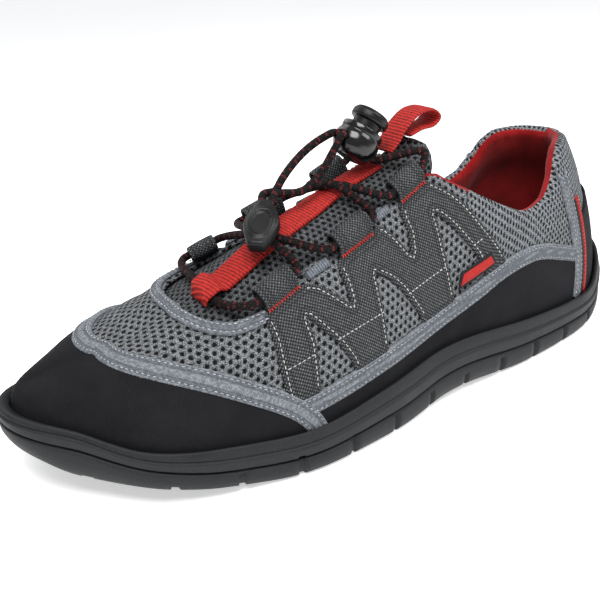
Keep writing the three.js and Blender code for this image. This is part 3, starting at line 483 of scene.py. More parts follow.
red_lining = brushed("red_lining", "b01718", "5c0607")
dark_lining = brushed("dark_lining", "3a3b3e", "17181a")
lace_braid = braid("lace_braid", "030303", "151315", "86292c")
white_thread = yarn("white_thread", "d8d8d4", "9d9d9a")
grey_thread = yarn("grey_thread", "b9bec5", "7c828b")
red_thread = yarn("red_thread", "e0332b", "a81815")
sole_rubber = moulded("sole_rubber", "242628", "121415", 0.5, 1.6, 0.12)
gloss_plastic = moulded("gloss_plastic", "0b0b0c", "050506", 0.1, 0.6, 0.02, 0.5)
matt_plastic = moulded("matt_plastic", "0d0e0f", "060607", 0.32, 1.2, 0.05)
print("other finishes:", sole_rubber.name, lace_braid.name, red_lining.name)

# %% [markdown]
# ## Making a piece
# Each piece is a list of points in millimetres and a list of faces. One helper turns them into a
# mesh, stores the cloth's vector on its points, names what it rides on and hides the solids it
# stands for.

# %% Piece maker


def piece(name, points, faces, finishes, lay=None, slot=None, stands_for=(), body="shoe",
          marks=None, weld=False):
    mesh = bpy.data.meshes.new(name)
    mesh.from_pydata((np.asarray(points) * MM).tolist(), [], faces)
    if lay is not None:
        layer = mesh.attributes.new("lay", "FLOAT_VECTOR", "POINT")
        layer.data.foreach_set("vector", np.asarray(lay, np.float32).ravel())
    if marks is not None:
        mesh.polygons.foreach_set("material_index", marks)
    shape = bmesh.new()
    shape.from_mesh(mesh)
    if weld:
        bmesh.ops.remove_doubles(shape, verts=shape.verts, dist=0.02 * MM)
    bmesh.ops.recalc_face_normals(shape, faces=shape.faces)
    for face in shape.faces:
        face.smooth = True
    shape.to_mesh(mesh)
    shape.free()
    for finish in finishes if isinstance(finishes, (list, tuple)) else [finishes]:
        mesh.materials.append(finish)
    made = bpy.data.objects.new(name, mesh)
    bpy.context.collection.objects.link(made)
    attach(made, body)
    if stands_for:
        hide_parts(*stands_for)
    print(name, len(mesh.polygons), "faces")
    return made


# %% [markdown]
# Overlays are cut from cloth, so they are made the same way: an outline on the form, holes in it,
# an even spread of points inside, and one triangulation that keeps every cut edge. The flat pattern
# then gets a top and a bottom, and the top rolls down toward the cut edge as folded cloth does.

# %% Lines on the form


def beside(line, distance, closed=False):
    """A line moved sideways over the form, to the left of its direction seen from outside."""
    line = np.asarray(line, float)
    place = form(*line.T)
    if closed:
        way = np.roll(place, -1, 0) - np.roll(place, 1, 0)
    else:
        way = np.gradient(place, axis=0)
    u, v = line.T
    sideways = unit(np.cross(normal(u, v), way)) * distance / 4
    for _ in range(4):
        a, b = slope_along(u, v), slope_up(u, v)
        aa, ab, bb = (a * a).sum(1), (a * b).sum(1), (b * b).sum(1)
        ahead, higher = (a * sideways).sum(1), (b * sideways).sum(1)
        scale = 1 / (aa * bb - ab * ab)
        u = u + (bb * ahead - ab * higher) * scale
        v = v + (aa * higher - ab * ahead) * scale
    return np.stack([u, v], 1)


def run(chosen, count):
    """A smooth line through chosen places, evenly spaced on the form."""
    chosen = np.asarray(chosen, float)
    gaps = np.linalg.norm(np.diff(form(*chosen.T), axis=0), axis=1)
    lengths = np.insert(np.cumsum(gaps), 0, 0)
    at = np.linspace(0, lengths[-1], count)
    return np.stack([curve(lengths, chosen[:, i])(at) for i in (0, 1)], 1)


STRAP_LEVEL, STRAP_TOP = 0.3, 0.62
strap_lean = curve([0.4, 0.53, 0.62, 0.65], [0.03, 0.028, 0.009, 0])


def mirrored(line):
    """The same line on the inner side, where the straps reach higher and lean toward the toe."""
    along, level = np.asarray(line, float).T
    share = np.clip((level - STRAP_LEVEL) / (STRAP_TOP - STRAP_LEVEL), 0, 1)
    ahead = along + strap_lean(along) * share
    reach = (2 - throat_inner(ahead)) / throat_outer(along)
    return np.stack([ahead, 2 - level * (1 + (reach - 1) * share)], 1)


def on_side(outer, line):
    return np.asarray(line, float) if outer else mirrored(line)


BOTTOM = 0.0    # level of the outer edge, where the cloth goes into the sole
quarter_line = run([
    [0.645, 0.22], [0.593, 0.225], [0.526, 0.237], [0.459, 0.24], [0.425, 0.243], [0.391, 0.256],
    [0.345, 0.243], [0.286, 0.212], [0.238, 0.185]], 40)
toe_line = run([
    [0.6, -0.35], [0.607, 0.04], [0.616, 0.14], [0.639, 0.24], [0.699, 0.42], [0.776, 0.68], [0.822, 1.0],
    [0.817, 1.18], [0.776, 1.36], [0.699, 1.58], [0.639, 1.76], [0.616, 1.86], [0.607, 1.96],
    [0.6, 2.35]], 90)
for _ in range(30):
    toe_line[1:-1] = (toe_line[:-2] + 2 * toe_line[1:-1] + toe_line[2:]) / 4
heel_line = run([
    [0.252, 0.45], [0.253, 0.33], [0.25, 0.25], [0.248, 0.17], [0.252, 0.1], [0.258, 0.02],
    [0.26, -0.1]], 24)
throat_line = run([
    [0.641, 0.611], [0.672, 0.63], [0.694, 0.69], [0.712, 0.8], [0.7235, 0.97], [0.715, 1.12],
    [0.694, 1.235], [0.672, 1.285], [0.641, 1.309]], 50)
print("toe line", len(toe_line), "places, quarter line", len(quarter_line))

# %% Cutting cloth
PLANE = np.array([400.0, 90.0])


def loop_points(loop, step):
    """Points around a closed outline, at most a step apart."""
    ahead = np.roll(loop, -1, 0)
    gap = np.linalg.norm(form(*ahead.T) - form(*loop.T), axis=1)
    gap = np.maximum(gap, np.linalg.norm((ahead - loop) * PLANE, axis=1) * 0.6)
    rows = []
    for here, there, length in zip(loop, ahead, gap):
        count = max(1, int(np.ceil(length / step - 1e-6)))
        rows.append(here + (there - here) * (np.arange(count)[:, None] / count))
    return np.concatenate(rows)


def inside(points, loop):
    x, y = points[:, :1], points[:, 1:]
    (x0, y0), (x1, y1) = loop.T, np.roll(loop, -1, 0).T
    rise = np.where(y1 == y0, 1e-12, y1 - y0)
    crosses = ((y0 > y) != (y1 > y)) & (x < x0 + (y - y0) * (x1 - x0) / rise)
    return crosses.sum(1) % 2 == 1


def in_cloth(points, loops):
    kept = inside(points, loops[0])
    for hole in loops[1:]:
        kept &= ~inside(points, hole)
    return kept


def anticlockwise(loop):
    loop = np.asarray(loop, float)
    x, y = loop.T
    area = (x * np.roll(y, -1) - np.roll(x, -1) * y).sum()
    return loop if area > 0 else loop[::-1]


def glued(points):
    """True on the heel's and the toe's middle line, where the two sides of the form meet."""
    return (points[:, 0] < 1e-5) | (points[:, 0] > 1 - 1e-5)


def tree_of(loops, gap=0.4):
    """Search tree of the cut edges, in millimetres."""
    samples = np.concatenate([loop_points(loop, gap) for loop in loops])
    samples = form(*samples[~glued(samples)].T)
    tree = kdtree.KDTree(len(samples))
    for i, sample in enumerate(samples):
        tree.insert(sample, i)
    tree.balance()
    return tree


def to_edge(tree, places):
    return np.array([tree.find(place)[2] for place in form(*places.T)])


def pattern(loops, step, insets):
    """Flat pattern of a cut piece: its places, its triangles and the distance of each to the edge."""
    loops = [anticlockwise(loop) for loop in loops]
    tree = tree_of(loops)
    rings = [loop_points(loop, step) for loop in loops]
    inner = []
    for inset in insets:
        for i, ring in enumerate(rings):
            moved = beside(ring, inset if i else -inset, closed=True)
            moved = moved[in_cloth(moved, loops) & ~glued(ring)]
            if len(moved):
                inner.append(moved[to_edge(tree, moved) > 0.85 * inset])
    low, high = loops[0].min(0), loops[0].max(0)
    spacing = step / PLANE
    columns, rows = np.ceil((high - low) / spacing / [1, 0.87]).astype(int) + 1
    i, j = np.meshgrid(np.arange(columns), np.arange(rows), indexing="ij")
    spread = np.stack([low[0] + (i + 0.5 * (j % 2)) * spacing[0], low[1] + j * spacing[1] * 0.87], -1)
    spread = spread.reshape(-1, 2)
    spread = spread[in_cloth(spread, loops)]
    off_seam = (spread[:, 0] > spacing[0] * 0.6) & (spread[:, 0] < 1 - spacing[0] * 0.6)
    clear = max(insets) + 0.45 * step
    spread = spread[(to_edge(tree, spread) > clear) & off_seam]
    flat = np.concatenate(rings + inner + [spread])
    edges, first = [], 0
    for ring in rings:
        count = len(ring)
        edges += [(first + k, first + (k + 1) % count) for k in range(count)]
        first += count
    corners, _, faces, *_ = geometry.delaunay_2d_cdt(
        [Vector(point) for point in (flat * PLANE).tolist()], edges, [], 0, 1e-5)
    places = np.array([tuple(corner) for corner in corners]) / PLANE
    places[:, 0] = np.where(np.abs(places[:, 0]) < 1e-5, 0, places[:, 0])
    faces = np.array([face for face in faces if len(face) == 3])
    faces = faces[in_cloth(places[faces].mean(1), loops)]
    return places, faces, to_edge(tree, places)


def borders(faces):
    """Directed edges that belong to one triangle only."""
    sides = np.concatenate([faces[:, [0, 1]], faces[:, [1, 2]], faces[:, [2, 0]]])
    known = {tuple(side) for side in sides.tolist()}
    return [side for side in known if side[::-1] not in known]


def value_at(amount, u, v):
    return amount(u, v) if callable(amount) else np.full(len(u), float(amount))


def cut(name, loops, finishes, low, high, step=1.6, insets=(0.35, 0.8), rounding=0.8, anchor=0.0,
        red_edge=None, **about):
    """A piece of cloth between two distances from the form, with its edges rolled.

    A red edge is a width and the two places along the foot between which the lining shows on top.
    """
    places, faces, edge = pattern(loops, step, insets)
    rim = borders(faces)
    cut_rim = [side for side in rim if not glued(places[list(side)]).all()]
    edge[list({i for side in cut_rim for i in side})] = 0
    u, v = places.T
    bottom, top = value_at(low, u, v), value_at(high, u, v)
    fall = np.sqrt(1 - (1 - np.clip(edge / rounding, 0, 1)) ** 2)
    lost = (top - bottom) * (1 - np.maximum(fall, 0.3))
    count = len(places)
    points = np.concatenate([skin(u, v, top - lost * (1 - anchor)), skin(u, v, bottom + lost * anchor)])
    walls = [[a, b, b + count, a + count] for a, b in cut_rim]
    every = faces[:, ::-1].tolist() + (faces + count).tolist() + walls
    along, around = lengths_at(u, v)
    lay = np.tile(np.stack([along, around, edge], 1), (2, 1))
    lay[count:, 1] += np.where(v <= 1, 0.3, -0.3) * (top - bottom)
    marks = None
    if isinstance(finishes, (list, tuple)):
        marks = np.zeros(len(every), np.int32)
        marks[len(faces):] = 1
        if red_edge:
            wide, start, end = red_edge
            middle_u, middle_v = u[faces].mean(1), v[faces].mean(1)
            near = (edge[faces].max(1) < wide) & (middle_u > start) & (middle_u < end) & (middle_v < 1)
            marks[:len(faces)][near] = 1
            below = marks[len(faces):2 * len(faces)]
            below[(edge[faces].max(1) < 2) & (middle_u > end)] = 0
            below[(edge[faces].max(1) < 0.5) & (middle_v > 1)] = 0
            marks[2 * len(faces):] = [int(u[a] < end and v[a] <= 1) for a, _ in cut_rim]
    return piece(name, points, every, finishes, lay, marks=marks, weld=bool(glued(places).any()), **about)


# %% [markdown]
# ## Lace ends
# The two free ends of the elastic lace leave the cord lock forward and bend down into the end clip.
# A cord is a tube along a smooth path, and its path is the route that the solids have, so the pieces
# stay together.

# %% Smooth paths and tubes


def smooth_path(points, spacing=0.6):
    """Evenly spaced points on a smooth curve through the given ones."""
    points = np.asarray(points, float)
    points = np.concatenate([[2 * points[0] - points[1]], points, [2 * points[-1] - points[-2]]])
    knots = np.maximum(np.linalg.norm(np.diff(points, axis=0), axis=1) ** 0.5, 1e-4)
    rows = []
    t = np.linspace(0, 1, 24, endpoint=False)[:, None]
    for i in range(1, len(points) - 2):
        p0, p1, p2, p3 = points[i - 1:i + 3]
        d0, d1, d2 = knots[i - 1:i + 2]
        m1 = ((p1 - p0) / d0 - (p2 - p0) / (d0 + d1) + (p2 - p1) / d1) * d1
        m2 = ((p2 - p1) / d1 - (p3 - p1) / (d1 + d2) + (p3 - p2) / d2) * d1
        rows.append((2 * t**3 - 3 * t**2 + 1) * p1 + (t**3 - 2 * t**2 + t) * m1
                    + (3 * t**2 - 2 * t**3) * p2 + (t**3 - t**2) * m2)
    dense = np.concatenate(rows + [points[-2:-1]])
    length = np.insert(np.cumsum(np.linalg.norm(np.diff(dense, axis=0), axis=1)), 0, 0)
    at = np.linspace(0, length[-1], max(3, int(length[-1] / spacing) + 1))
    return np.stack([np.interp(at, length, dense[:, i]) for i in range(3)], 1)


def ring_faces(rows, count, start=0):
    """Faces over rows of rings, each ring with the same number of points."""
    return [[start + r * count + k, start + r * count + (k + 1) % count,
             start + (r + 1) * count + (k + 1) % count, start + (r + 1) * count + k]
            for r in range(rows - 1) for k in range(count)]


def tube(path, radius, sides=14):
    """Closed tube along a path, with the cloth's vector along and around it."""
    way = unit(np.gradient(path, axis=0))
    side = unit(np.cross(way[0], [0.3, 0.5, 0.8]))
    turn = np.linspace(0, 2 * np.pi, sides, endpoint=False)[:, None]
    radii = np.broadcast_to(radius, len(path))
    points = []
    for place, direction, size in zip(path, way, radii):
        side = unit(side - direction * (side @ direction))
        third = np.cross(direction, side)
        points.append(place + size * (np.cos(turn) * side + np.sin(turn) * third))
    rows = len(path)
    faces = ring_faces(rows, sides)
    faces += [list(range(sides))[::-1], [(rows - 1) * sides + k for k in range(sides)]]
    length = np.insert(np.cumsum(np.linalg.norm(np.diff(path, axis=0), axis=1)), 0, 0)
    around = np.arange(sides) * 2 * np.pi * radii.mean() / sides
    lay = np.stack([np.repeat(length, sides), np.tile(around, rows), np.full(rows * sides, 9.0)], 1)
    return np.concatenate(points), faces, lay


LACE = 1.5
GAP = 0.3
lock_centre = skin(0.46, 0.985, 10)
lock_axis = unit(np.array([-0.65, 0, 0.76]))
lock_forward = unit(np.array([0.76, 0, 0.65]))
LOCK_RADIUS, LOCK_LENGTH, SPREAD, SLOT_PLACE = 8.5, 12.5, 2.1, -1.2
clip_centre = skin(0.594, 0.895, 8.4)
clip_up = normal(0.594, 0.895)
clip_axis = np.array([0.65, 0.62, -0.44])
clip_axis = unit(clip_axis - clip_up * (clip_axis @ clip_up))
clip_side = np.cross(clip_up, clip_axis)
CLIP_LENGTH, CLIP_WIDTH, CLIP_THICK = 21.5, 13.0, 6.0


def slot_middle(side):
    return lock_centre + lock_axis * SLOT_PLACE + np.array([0, side * SPREAD, 0])


def to_clip(side):
    neck = clip_centre - clip_axis * (CLIP_LENGTH / 2 + GAP) + clip_side * side * SPREAD
    return [neck - clip_axis * 4, neck]


end_routes = {
    "lace_end_1": (-1, [[112.8, 0.3, 103.2], [120.5, 0, 99.6], [127.3, 1, 95.6], [132.3, 2, 91.8],
                        [136.5, 3.4, 88.6]]),
    "lace_end_2": (1, [[110.2, 6.6, 101.5], [113.2, 6.4, 97.5], [116.7, 6.4, 93.2],
                       [121.7, 6.8, 89.6], [127.7, 7.4, 87.4]]),
}
end_paths, lace_ends = {}, {}
for name, (side, middle) in end_routes.items():
    leaving = [slot_middle(side) + lock_forward * d for d in (GAP / 2, LOCK_RADIUS * 0.6, LOCK_RADIUS + 1)]
    path = smooth_path([*leaving, *middle, *to_clip(side)])
    end_paths[name] = path
    lace_ends[name] = piece(f"free_{name}", *tube(path, LACE)[:2], lace_braid, tube(path, LACE)[2],
                            slot="elastic_cord", stands_for=(name,))
    print("  long", round(float(np.linalg.norm(np.diff(path, axis=0), axis=1).sum()), 1), "mm")

# %% [markdown]
# ## End clip
# A small moulded clip closes over both lace ends. It is a flat lozenge with a raised oval rim on its
# faces, drawn as rings of a rounded section along its axis.

# %% End clip
half_width = curve([0, 0.12, 0.26, 0.5, 0.72, 0.9, 1], [0.5, 0.52, 0.8, 1, 0.84, 0.6, 0.46])
SECTIONS, AROUND = 64, 56


def clip_shell():
    ends = np.concatenate([[0, 0.004, 0.012, 0.025], np.linspace(0.045, 0.955, SECTIONS - 8),
                           [0.975, 0.988, 0.996, 1]])
    turn = np.linspace(0, 2 * np.pi, AROUND, endpoint=False)
    cosine, sine = np.cos(turn), np.sin(turn)
    rings = []
    for share in ends:
        close = min(share, 1 - share) * CLIP_LENGTH
        shrink = np.sqrt(max(0.02, 1 - (1 - min(close / 1.1, 1)) ** 2))
        across = half_width(share) * CLIP_WIDTH / 2 - 0.9 * (1 - shrink)
        thick = CLIP_THICK / 2 * (0.55 + 0.45 * shrink)
        y = across * np.sign(cosine) * np.abs(cosine) ** 0.55
        z = thick * np.sign(sine) * np.abs(sine) ** 0.4
        oval = ((share - 0.53) / 0.3) ** 2 + (y / (CLIP_WIDTH * 0.33)) ** 2
        rim = np.exp(-((oval - 1) / 0.24) ** 2) * 0.55 - 0.35 * (oval < 0.8)
        z = z + np.sign(sine) * np.where(np.abs(sine) > 0.5, rim, 0) - 0.35 * np.sign(sine)
        along = (share - 0.5) * CLIP_LENGTH
        rings.append(clip_centre + clip_axis * along + y[:, None] * clip_side + z[:, None] * clip_up)
    return rings


def ringed(rings):
    """Closed skin over rings of equally many points."""
    count = len(rings[0])
    faces = ring_faces(len(rings), count)
    faces += [list(range(count))[::-1], [(len(rings) - 1) * count + k for k in range(count)]]
    return np.concatenate(rings), faces


clip = piece("end_clip", *ringed(clip_shell()), matt_plastic, slot="clip", stands_for=("cord_end_clip",))
for name, path in end_paths.items():
    tuple(path[0] * MM)
    (path[::3] * MM).tolist()

# %% [markdown]
# ## Cord lock
# The lock is a glossy barrel with a spring button in it. Both are turned shapes, so they are drawn as
# a profile spun around one axis, and the slot for the two cords is cut out afterwards.

# %% Barrel and button


def spun(profile, segments=72):
    side = np.cross(lock_axis, lock_forward)
    turn = np.linspace(0, 2 * np.pi, segments, endpoint=False)[:, None]
    ring_way = np.cos(turn) * lock_forward + np.sin(turn) * side
    return [lock_centre + lock_axis * height + ring_way * max(radius, 0.02) for radius, height in profile]


def softened(profile, radius=0.5, steps=4):
    """The same profile with each corner rounded."""
    profile = np.asarray(profile, float)
    points = [profile[0]]
    for before, here, after in zip(profile, profile[1:], profile[2:]):
        reach = min(radius, np.linalg.norm(here - before) / 2.1, np.linalg.norm(after - here) / 2.1)
        start, end = here + unit(before - here) * reach, here + unit(after - here) * reach
        for t in np.linspace(0, 1, steps):
            points.append((1 - t) ** 2 * start + 2 * t * (1 - t) * here + t * t * end)
    return points + [profile[-1]]


half = LOCK_LENGTH / 2
STEM, CAP_RADIUS, CAP, TRAVEL = 5.6, 7.5, 4.6, 2.6
recess = half - (SLOT_PLACE + LACE + GAP) - 0.8
neck = LOCK_RADIUS * 0.88
barrel_profile = softened([
    (0, -half), (neck * 0.62, -half), (neck * 0.9, -half * 0.88), (LOCK_RADIUS, -half * 0.5),
    (LOCK_RADIUS * 1.07, -half * 0.1), (LOCK_RADIUS * 1.05, half * 0.3),
    (LOCK_RADIUS * 0.95, half * 0.56), (LOCK_RADIUS * 0.99, half * 0.66),
    (LOCK_RADIUS * 0.99, half * 0.95), (neck, half), (STEM + GAP, half),
    (STEM + GAP, half - recess), (0, half - recess)], 0.7)
barrel = piece("cord_lock_body", *ringed(spun(barrel_profile)), gloss_plastic, slot="lock",
               stands_for=("cord_lock_barrel",))
turn = np.linspace(0, 2 * np.pi, 40, endpoint=False)
slot_across = np.sign(np.cos(turn)) * SPREAD + np.cos(turn) * (LACE + GAP)
slot_high = np.sin(turn) * (LACE + GAP)
lock_side = np.cross(lock_axis, lock_forward)
slot_rings = [lock_centre + lock_axis * SLOT_PLACE + lock_forward * reach * 2 * LOCK_RADIUS
              + slot_across[:, None] * lock_side + slot_high[:, None] * lock_axis for reach in (-1, 1)]
points, faces = ringed(slot_rings)
cutter_mesh = bpy.data.meshes.new("slot")
cutter_mesh.from_pydata((points * MM).tolist(), [], faces)
cutter = bpy.data.objects.new("slot", cutter_mesh)
bpy.context.collection.objects.link(cutter)
hollow = barrel.modifiers.new("slot", "BOOLEAN")
hollow.operation, hollow.object, hollow.solver = "DIFFERENCE", cutter, "EXACT"
opened = bpy.data.meshes.new_from_object(barrel.evaluated_get(bpy.context.evaluated_depsgraph_get()))
barrel.modifiers.clear()
barrel.data = opened
bpy.data.objects.remove(cutter)
foot, flange = half - recess + GAP + TRAVEL, half + GAP + TRAVEL
button_profile = softened([
    (0, foot), (STEM, foot), (STEM, flange), (CAP_RADIUS * 0.94, flange), (CAP_RADIUS, flange + 0.8),
    (CAP_RADIUS, flange + CAP * 0.6), (CAP_RADIUS * 0.86, flange + CAP * 0.9),
    (CAP_RADIUS * 0.6, flange + CAP), (CAP_RADIUS * 0.56, flange + CAP - 0.35), (0, flange + CAP - 0.35)], 0.4)
piece("cord_lock_press", *ringed(spun(button_profile)), matt_plastic, slot="lock",
      stands_for=("cord_lock_button",), body="button")

# %% [markdown]
# ## Sole
# One rubber cup wraps the foot. Its side rises from the tread in a rolled wall with a line round it
# and a rolled rim, and cross grooves part the tread into blocks. The side and the tread are one
# closed skin of rings, with extra columns at each groove so that the cuts stay sharp.

# %% Sole
GROOVES = np.arange(32.6, LAST, 21.4) / LAST
RIM_THICK, TREAD_DEEP, GROOVE, NOTCH_HIGH, NOTCH_DEEP = 4.0, 3.5, 2.2, 9.0, 1.3
side_out = curve([0, 0.08, 0.26, 0.42, 0.455, 0.5, 0.56, 0.72, 0.755, 0.8, 1.0],
                 [0.55, 0.92, 1.12, 1.04, 0.66, 0.98, 1.03, 1.06, 0.84, 0.9, 0.72])


def level_at(u, outer, height):
    share = share_of(u)
    low = feather_at(share) * RIM
    rise = (height - low) / (ridge_z(share) * INSTEP - low)
    above = np.arcsin(np.clip(rise, 1e-9, 1) ** (fullness(share) / 2)) * 2 / np.pi
    level = np.where(rise <= 0, (height - low) / RIM, above)
    return np.where(outer, level, 2 - level)


def smooth(value, low, high):
    t = np.clip((value - low) / (high - low), 0, 1)
    return t * t * (3 - 2 * t)


def sole_columns():
    half_cut = GROOVE / 2 / LAST
    cuts = (GROOVES[:, None] + np.array([-1.35, -1, -0.6, 0, 0.6, 1, 1.35]) * half_cut).ravel()
    spread = share_of(np.linspace(0, 1, 170)[1:-1])
    spread = spread[np.abs(spread[:, None] - GROOVES).min(1) > half_cut * 1.6]
    return angle_of(np.sort(np.concatenate([[0], spread, cuts[cuts < 0.985], [1]])))


along_sole = sole_columns()
ring_u = np.concatenate([along_sole, along_sole[-2:0:-1]])
ring_outer = np.arange(len(ring_u)) < len(along_sole)
ring_share = share_of(ring_u)
groove_near = np.abs(ring_share[:, None] - GROOVES).min(1) * LAST
in_groove = groove_near < GROOVE / 2 + 0.05
tread_z, rim_z = tread_at(ring_share) * RIM, rim_at(ring_share) * RIM
bumper = 1.8 * smooth(ring_share, 0.95, 1)
sweep = 0.75 * smooth(ring_share, 0.8, 0.97)


def sole_ring(rise):
    height = tread_z + (rim_z - tread_z) * (rise + sweep * rise * (1 - rise))
    off = side_out(rise) * RIM_THICK + bumper * min(1, rise * 2) + max(0, rise - 0.5) * 1.2
    close = 1 - smooth(height, NOTCH_HIGH - 1.5, NOTCH_HIGH)
    off = off - np.where(in_groove, NOTCH_DEEP, 0) * close
    level = level_at(ring_u, ring_outer, height)
    points = skin(ring_u, level, off)
    if rise == 0:
        points[:, 2] = height + np.where(in_groove, TREAD_DEEP, 0)
    return points


def sole_rings():
    rises = np.concatenate([[0], np.linspace(0.03, 0.4, 12), np.linspace(0.425, 0.56, 13),
                            np.linspace(0.6, 0.72, 4), np.linspace(0.735, 0.82, 8), [0.87, 0.92, 0.96, 0.985]])
    rings = [sole_ring(rise) for rise in rises]
    top = sole_ring(1.0)
    way = unit(top - skin(ring_u, level_at(ring_u, ring_outer, rim_z), 0.0))
    rings.append(top - way * 0.25 + [0, 0, 0.12])
    rings.append(top - way * 0.9 + [0, 0, 0.2])
    for drop, off in ((0.4, 1.7), (1.6, 1.5), (5.0, 1.5)):
        height = np.maximum(rim_z - drop, feather_at(ring_share) * RIM + 0.4)
        rings.append(skin(ring_u, level_at(ring_u, ring_outer, height), off))
    rings.append(skin(ring_u, np.where(ring_outer, 0.0, 2.0), 1.5) - [0, 0, 0.6])
    return rings


rings = sole_rings()
count, strips = len(ring_u), 15
half_ring = len(along_sole)
sole_points = np.concatenate(rings)
sole_faces = ring_faces(len(rings), count)


def bridge(ring, start, raised):
    """Strips of points between the two sides of one ring, and the numbers of all their points."""
    outer_index = np.arange(half_ring)
    inner_index = (count - outer_index) % count
    share = np.arange(1, strips)[:, None, None] / strips
    middle = ring[outer_index] * (1 - share) + ring[inner_index] * share
    if raised is not None:
        middle[:, :, 2] = raised[outer_index]
    index = np.concatenate([[outer_index], start + np.arange((strips - 1) * half_ring).reshape(
        strips - 1, half_ring), [inner_index]])
    return middle.reshape(-1, 3), index


floor_z = tread_z + np.where(in_groove, TREAD_DEEP, 0)
for ring_number, heights in ((0, floor_z), (len(rings) - 1, None)):
    middle, index = bridge(rings[ring_number], len(sole_points), heights)
    index[0] += ring_number * count
    index[-1] += ring_number * count
    sole_points = np.concatenate([sole_points, middle])
    for r in range(strips):
        for k in range(half_ring - 1):
            corners = [index[r, k], index[r, k + 1], index[r + 1, k + 1], index[r + 1, k]]
            corners = list(dict.fromkeys(int(c) for c in corners))
            if len(corners) > 2:
                sole_faces.append(corners if ring_number == 0 else corners[::-1])
piece("rubber_sole", sole_points, sole_faces, sole_rubber, slot="rubber", stands_for=("outsole",))

# %% [markdown]
# ## Upper
# The upper is one net shell. Its outline runs round the sole, up the heel, along the collar, and
# round the throat. The collar is stuffed, so there the shell is thicker and its edge rolls over, and
# the red lining covers the inside and the roll. The creases are placed where the foot's
# bend and the soft collar make them.

# %% Collar edge
WALL, PAD = 2.4, 3.2


def collar_level(u, inner=False):
    """Level at which the form reaches the collar's cut, at one place along."""
    levels = np.linspace(0.1, 1, 181)
    rows = form(np.full(181, u), 2 - levels if inner else levels)
    line = collar_up((rows[:, 0] - START) / LAST) * COLLAR
    above = np.nonzero(rows[:, 2] >= line)[0]
    if not len(above):
        return 1.0
    i = max(above[0], 1)
    gap = rows[i - 1:i + 1, 2] - line[i - 1:i + 1]
    share = gap[0] / (gap[0] - gap[1])
    return float(levels[i - 1] + (levels[i] - levels[i - 1]) * share)


def collar_run(inner):
    """Collar edge from the heel's back to where it meets the throat."""
    throat_edge = throat_inner if inner else throat_outer
    rows = []
    for u in np.linspace(0, 0.47, 95):
        level = collar_level(u, inner)
        limit = (2 - throat_edge(u)) if inner else throat_edge(u)
        if u > 0.38 and level >= limit:
            break
        rows.append([u, 2 - level if inner else level])
    return np.array(rows)


collar_outer, collar_inner = collar_run(False), collar_run(True)
throat_u = np.concatenate([np.linspace(0.38, 0.7, 60), np.linspace(0.702, 0.72, 12)])


def throat_run(inner):
    start = (collar_inner if inner else collar_outer)[-1, 0]
    kept = throat_u[throat_u > start + 0.004]
    return np.stack([kept, (throat_inner if inner else throat_outer)(kept)], 1)


upper_outline = np.concatenate([
    [[0, BOTTOM], [1, BOTTOM], [1, 2 - BOTTOM], [0, 2 - BOTTOM]], collar_inner, throat_run(True),
    throat_run(False)[::-1], collar_outer[::-1]])
print("collar ends at", collar_outer[-1].round(3), "outside and", collar_inner[-1].round(3), "inside")

# %% Upper
creases = [
    # ends of each crease in shares, how deep and how wide it is in millimetres
    ((0.36, 0.42), (0.3, 0.24), 0.7, 3.2), ((0.345, 0.36), (0.27, 0.3), 0.5, 2.6),
    ((0.2, 0.36), (0.1, 0.3), 0.6, 3.0), ((0.34, 1.6), (0.29, 1.75), 0.7, 3.0),
    ((0.75, 0.82), (0.72, 1.12), 0.45, 3.5), ((0.735, 0.7), (0.7, 0.55), 0.5, 3.0),
    ((0.735, 1.2), (0.7, 1.42), 0.5, 3.0), ((0.03, 0.55), (0.09, 0.42), 0.6, 2.4),
]


def crease_depth(u, v):
    places = form(u, v)
    depth = np.zeros(len(u))
    for start, end, deep, wide in creases:
        line = form(*(np.array(start)[:, None] * (1 - np.linspace(0, 1, 12))
                      + np.array(end)[:, None] * np.linspace(0, 1, 12)))
        away = np.linalg.norm(places[:, None] - line[None], axis=2)
        fade = np.sin(np.pi * np.linspace(0.06, 0.94, 12)) ** 0.5
        depth += deep * (fade * np.exp(-(away / wide) ** 2)).max(1)
    return depth


def collar_pad(u, v):
    places = form(u, v)
    line = collar_up((places[:, 0] - START) / LAST) * COLLAR
    near = smooth(places[:, 2], line - 26, line - 26 / 3)
    return PAD * near * (1 - smooth(u, 0.345, 0.385))


def upper_low(u, v):
    return -(WALL + collar_pad(u, v) * 1.15) - crease_depth(u, v) * 0.5


upper = cut("net_upper", [upper_outline], [toe_net, red_lining], upper_low,
            lambda u, v: collar_pad(u, v) * 0.12 - crease_depth(u, v), step=2.0,
            insets=(0.35, 0.9, 1.7, 2.8), rounding=2.8, anchor=0.5, red_edge=(1.7, 0.395, 0.45),
            slot="knit", stands_for=("upper",))
heel_faces = np.zeros(len(upper.data.polygons), np.int32)
upper.data.polygons.foreach_get("material_index", heel_faces)
centres = np.zeros(len(heel_faces) * 3)
upper.data.polygons.foreach_get("center", centres)
upper.data.materials.append(collar_net)
behind = centres.reshape(-1, 3)[:, 0] < 0.062
heel_faces[(heel_faces == 0) & behind] = 2
upper.data.polygons.foreach_set("material_index", heel_faces)

# %% [markdown]
# ## Insole
# The footbed fills the cup inside. It is a thin pad that curls up a little at its rim, drawn as
# strips from side to side.

# %% Insole


def insole_shell():
    u = np.linspace(0.03, 0.97, 90)
    share = share_of(u)
    low = feather_at(share) * RIM
    sides = [skin(u, level_at(u, outer, low + 1.5), -(WALL + 0.5)) for outer in (True, False)]
    rows = []
    across = np.linspace(0, 1, 17)
    for t in across:
        line = sides[0] * (1 - t) + sides[1] * t
        line[:, 2] = low + 3.0 + 0.5 * np.abs(2 * t - 1) ** 6
        rows.append(line)
    top = np.array(rows)
    bottom = top.copy()
    bottom[:, :, 2] -= 2.8
    return top, bottom, u


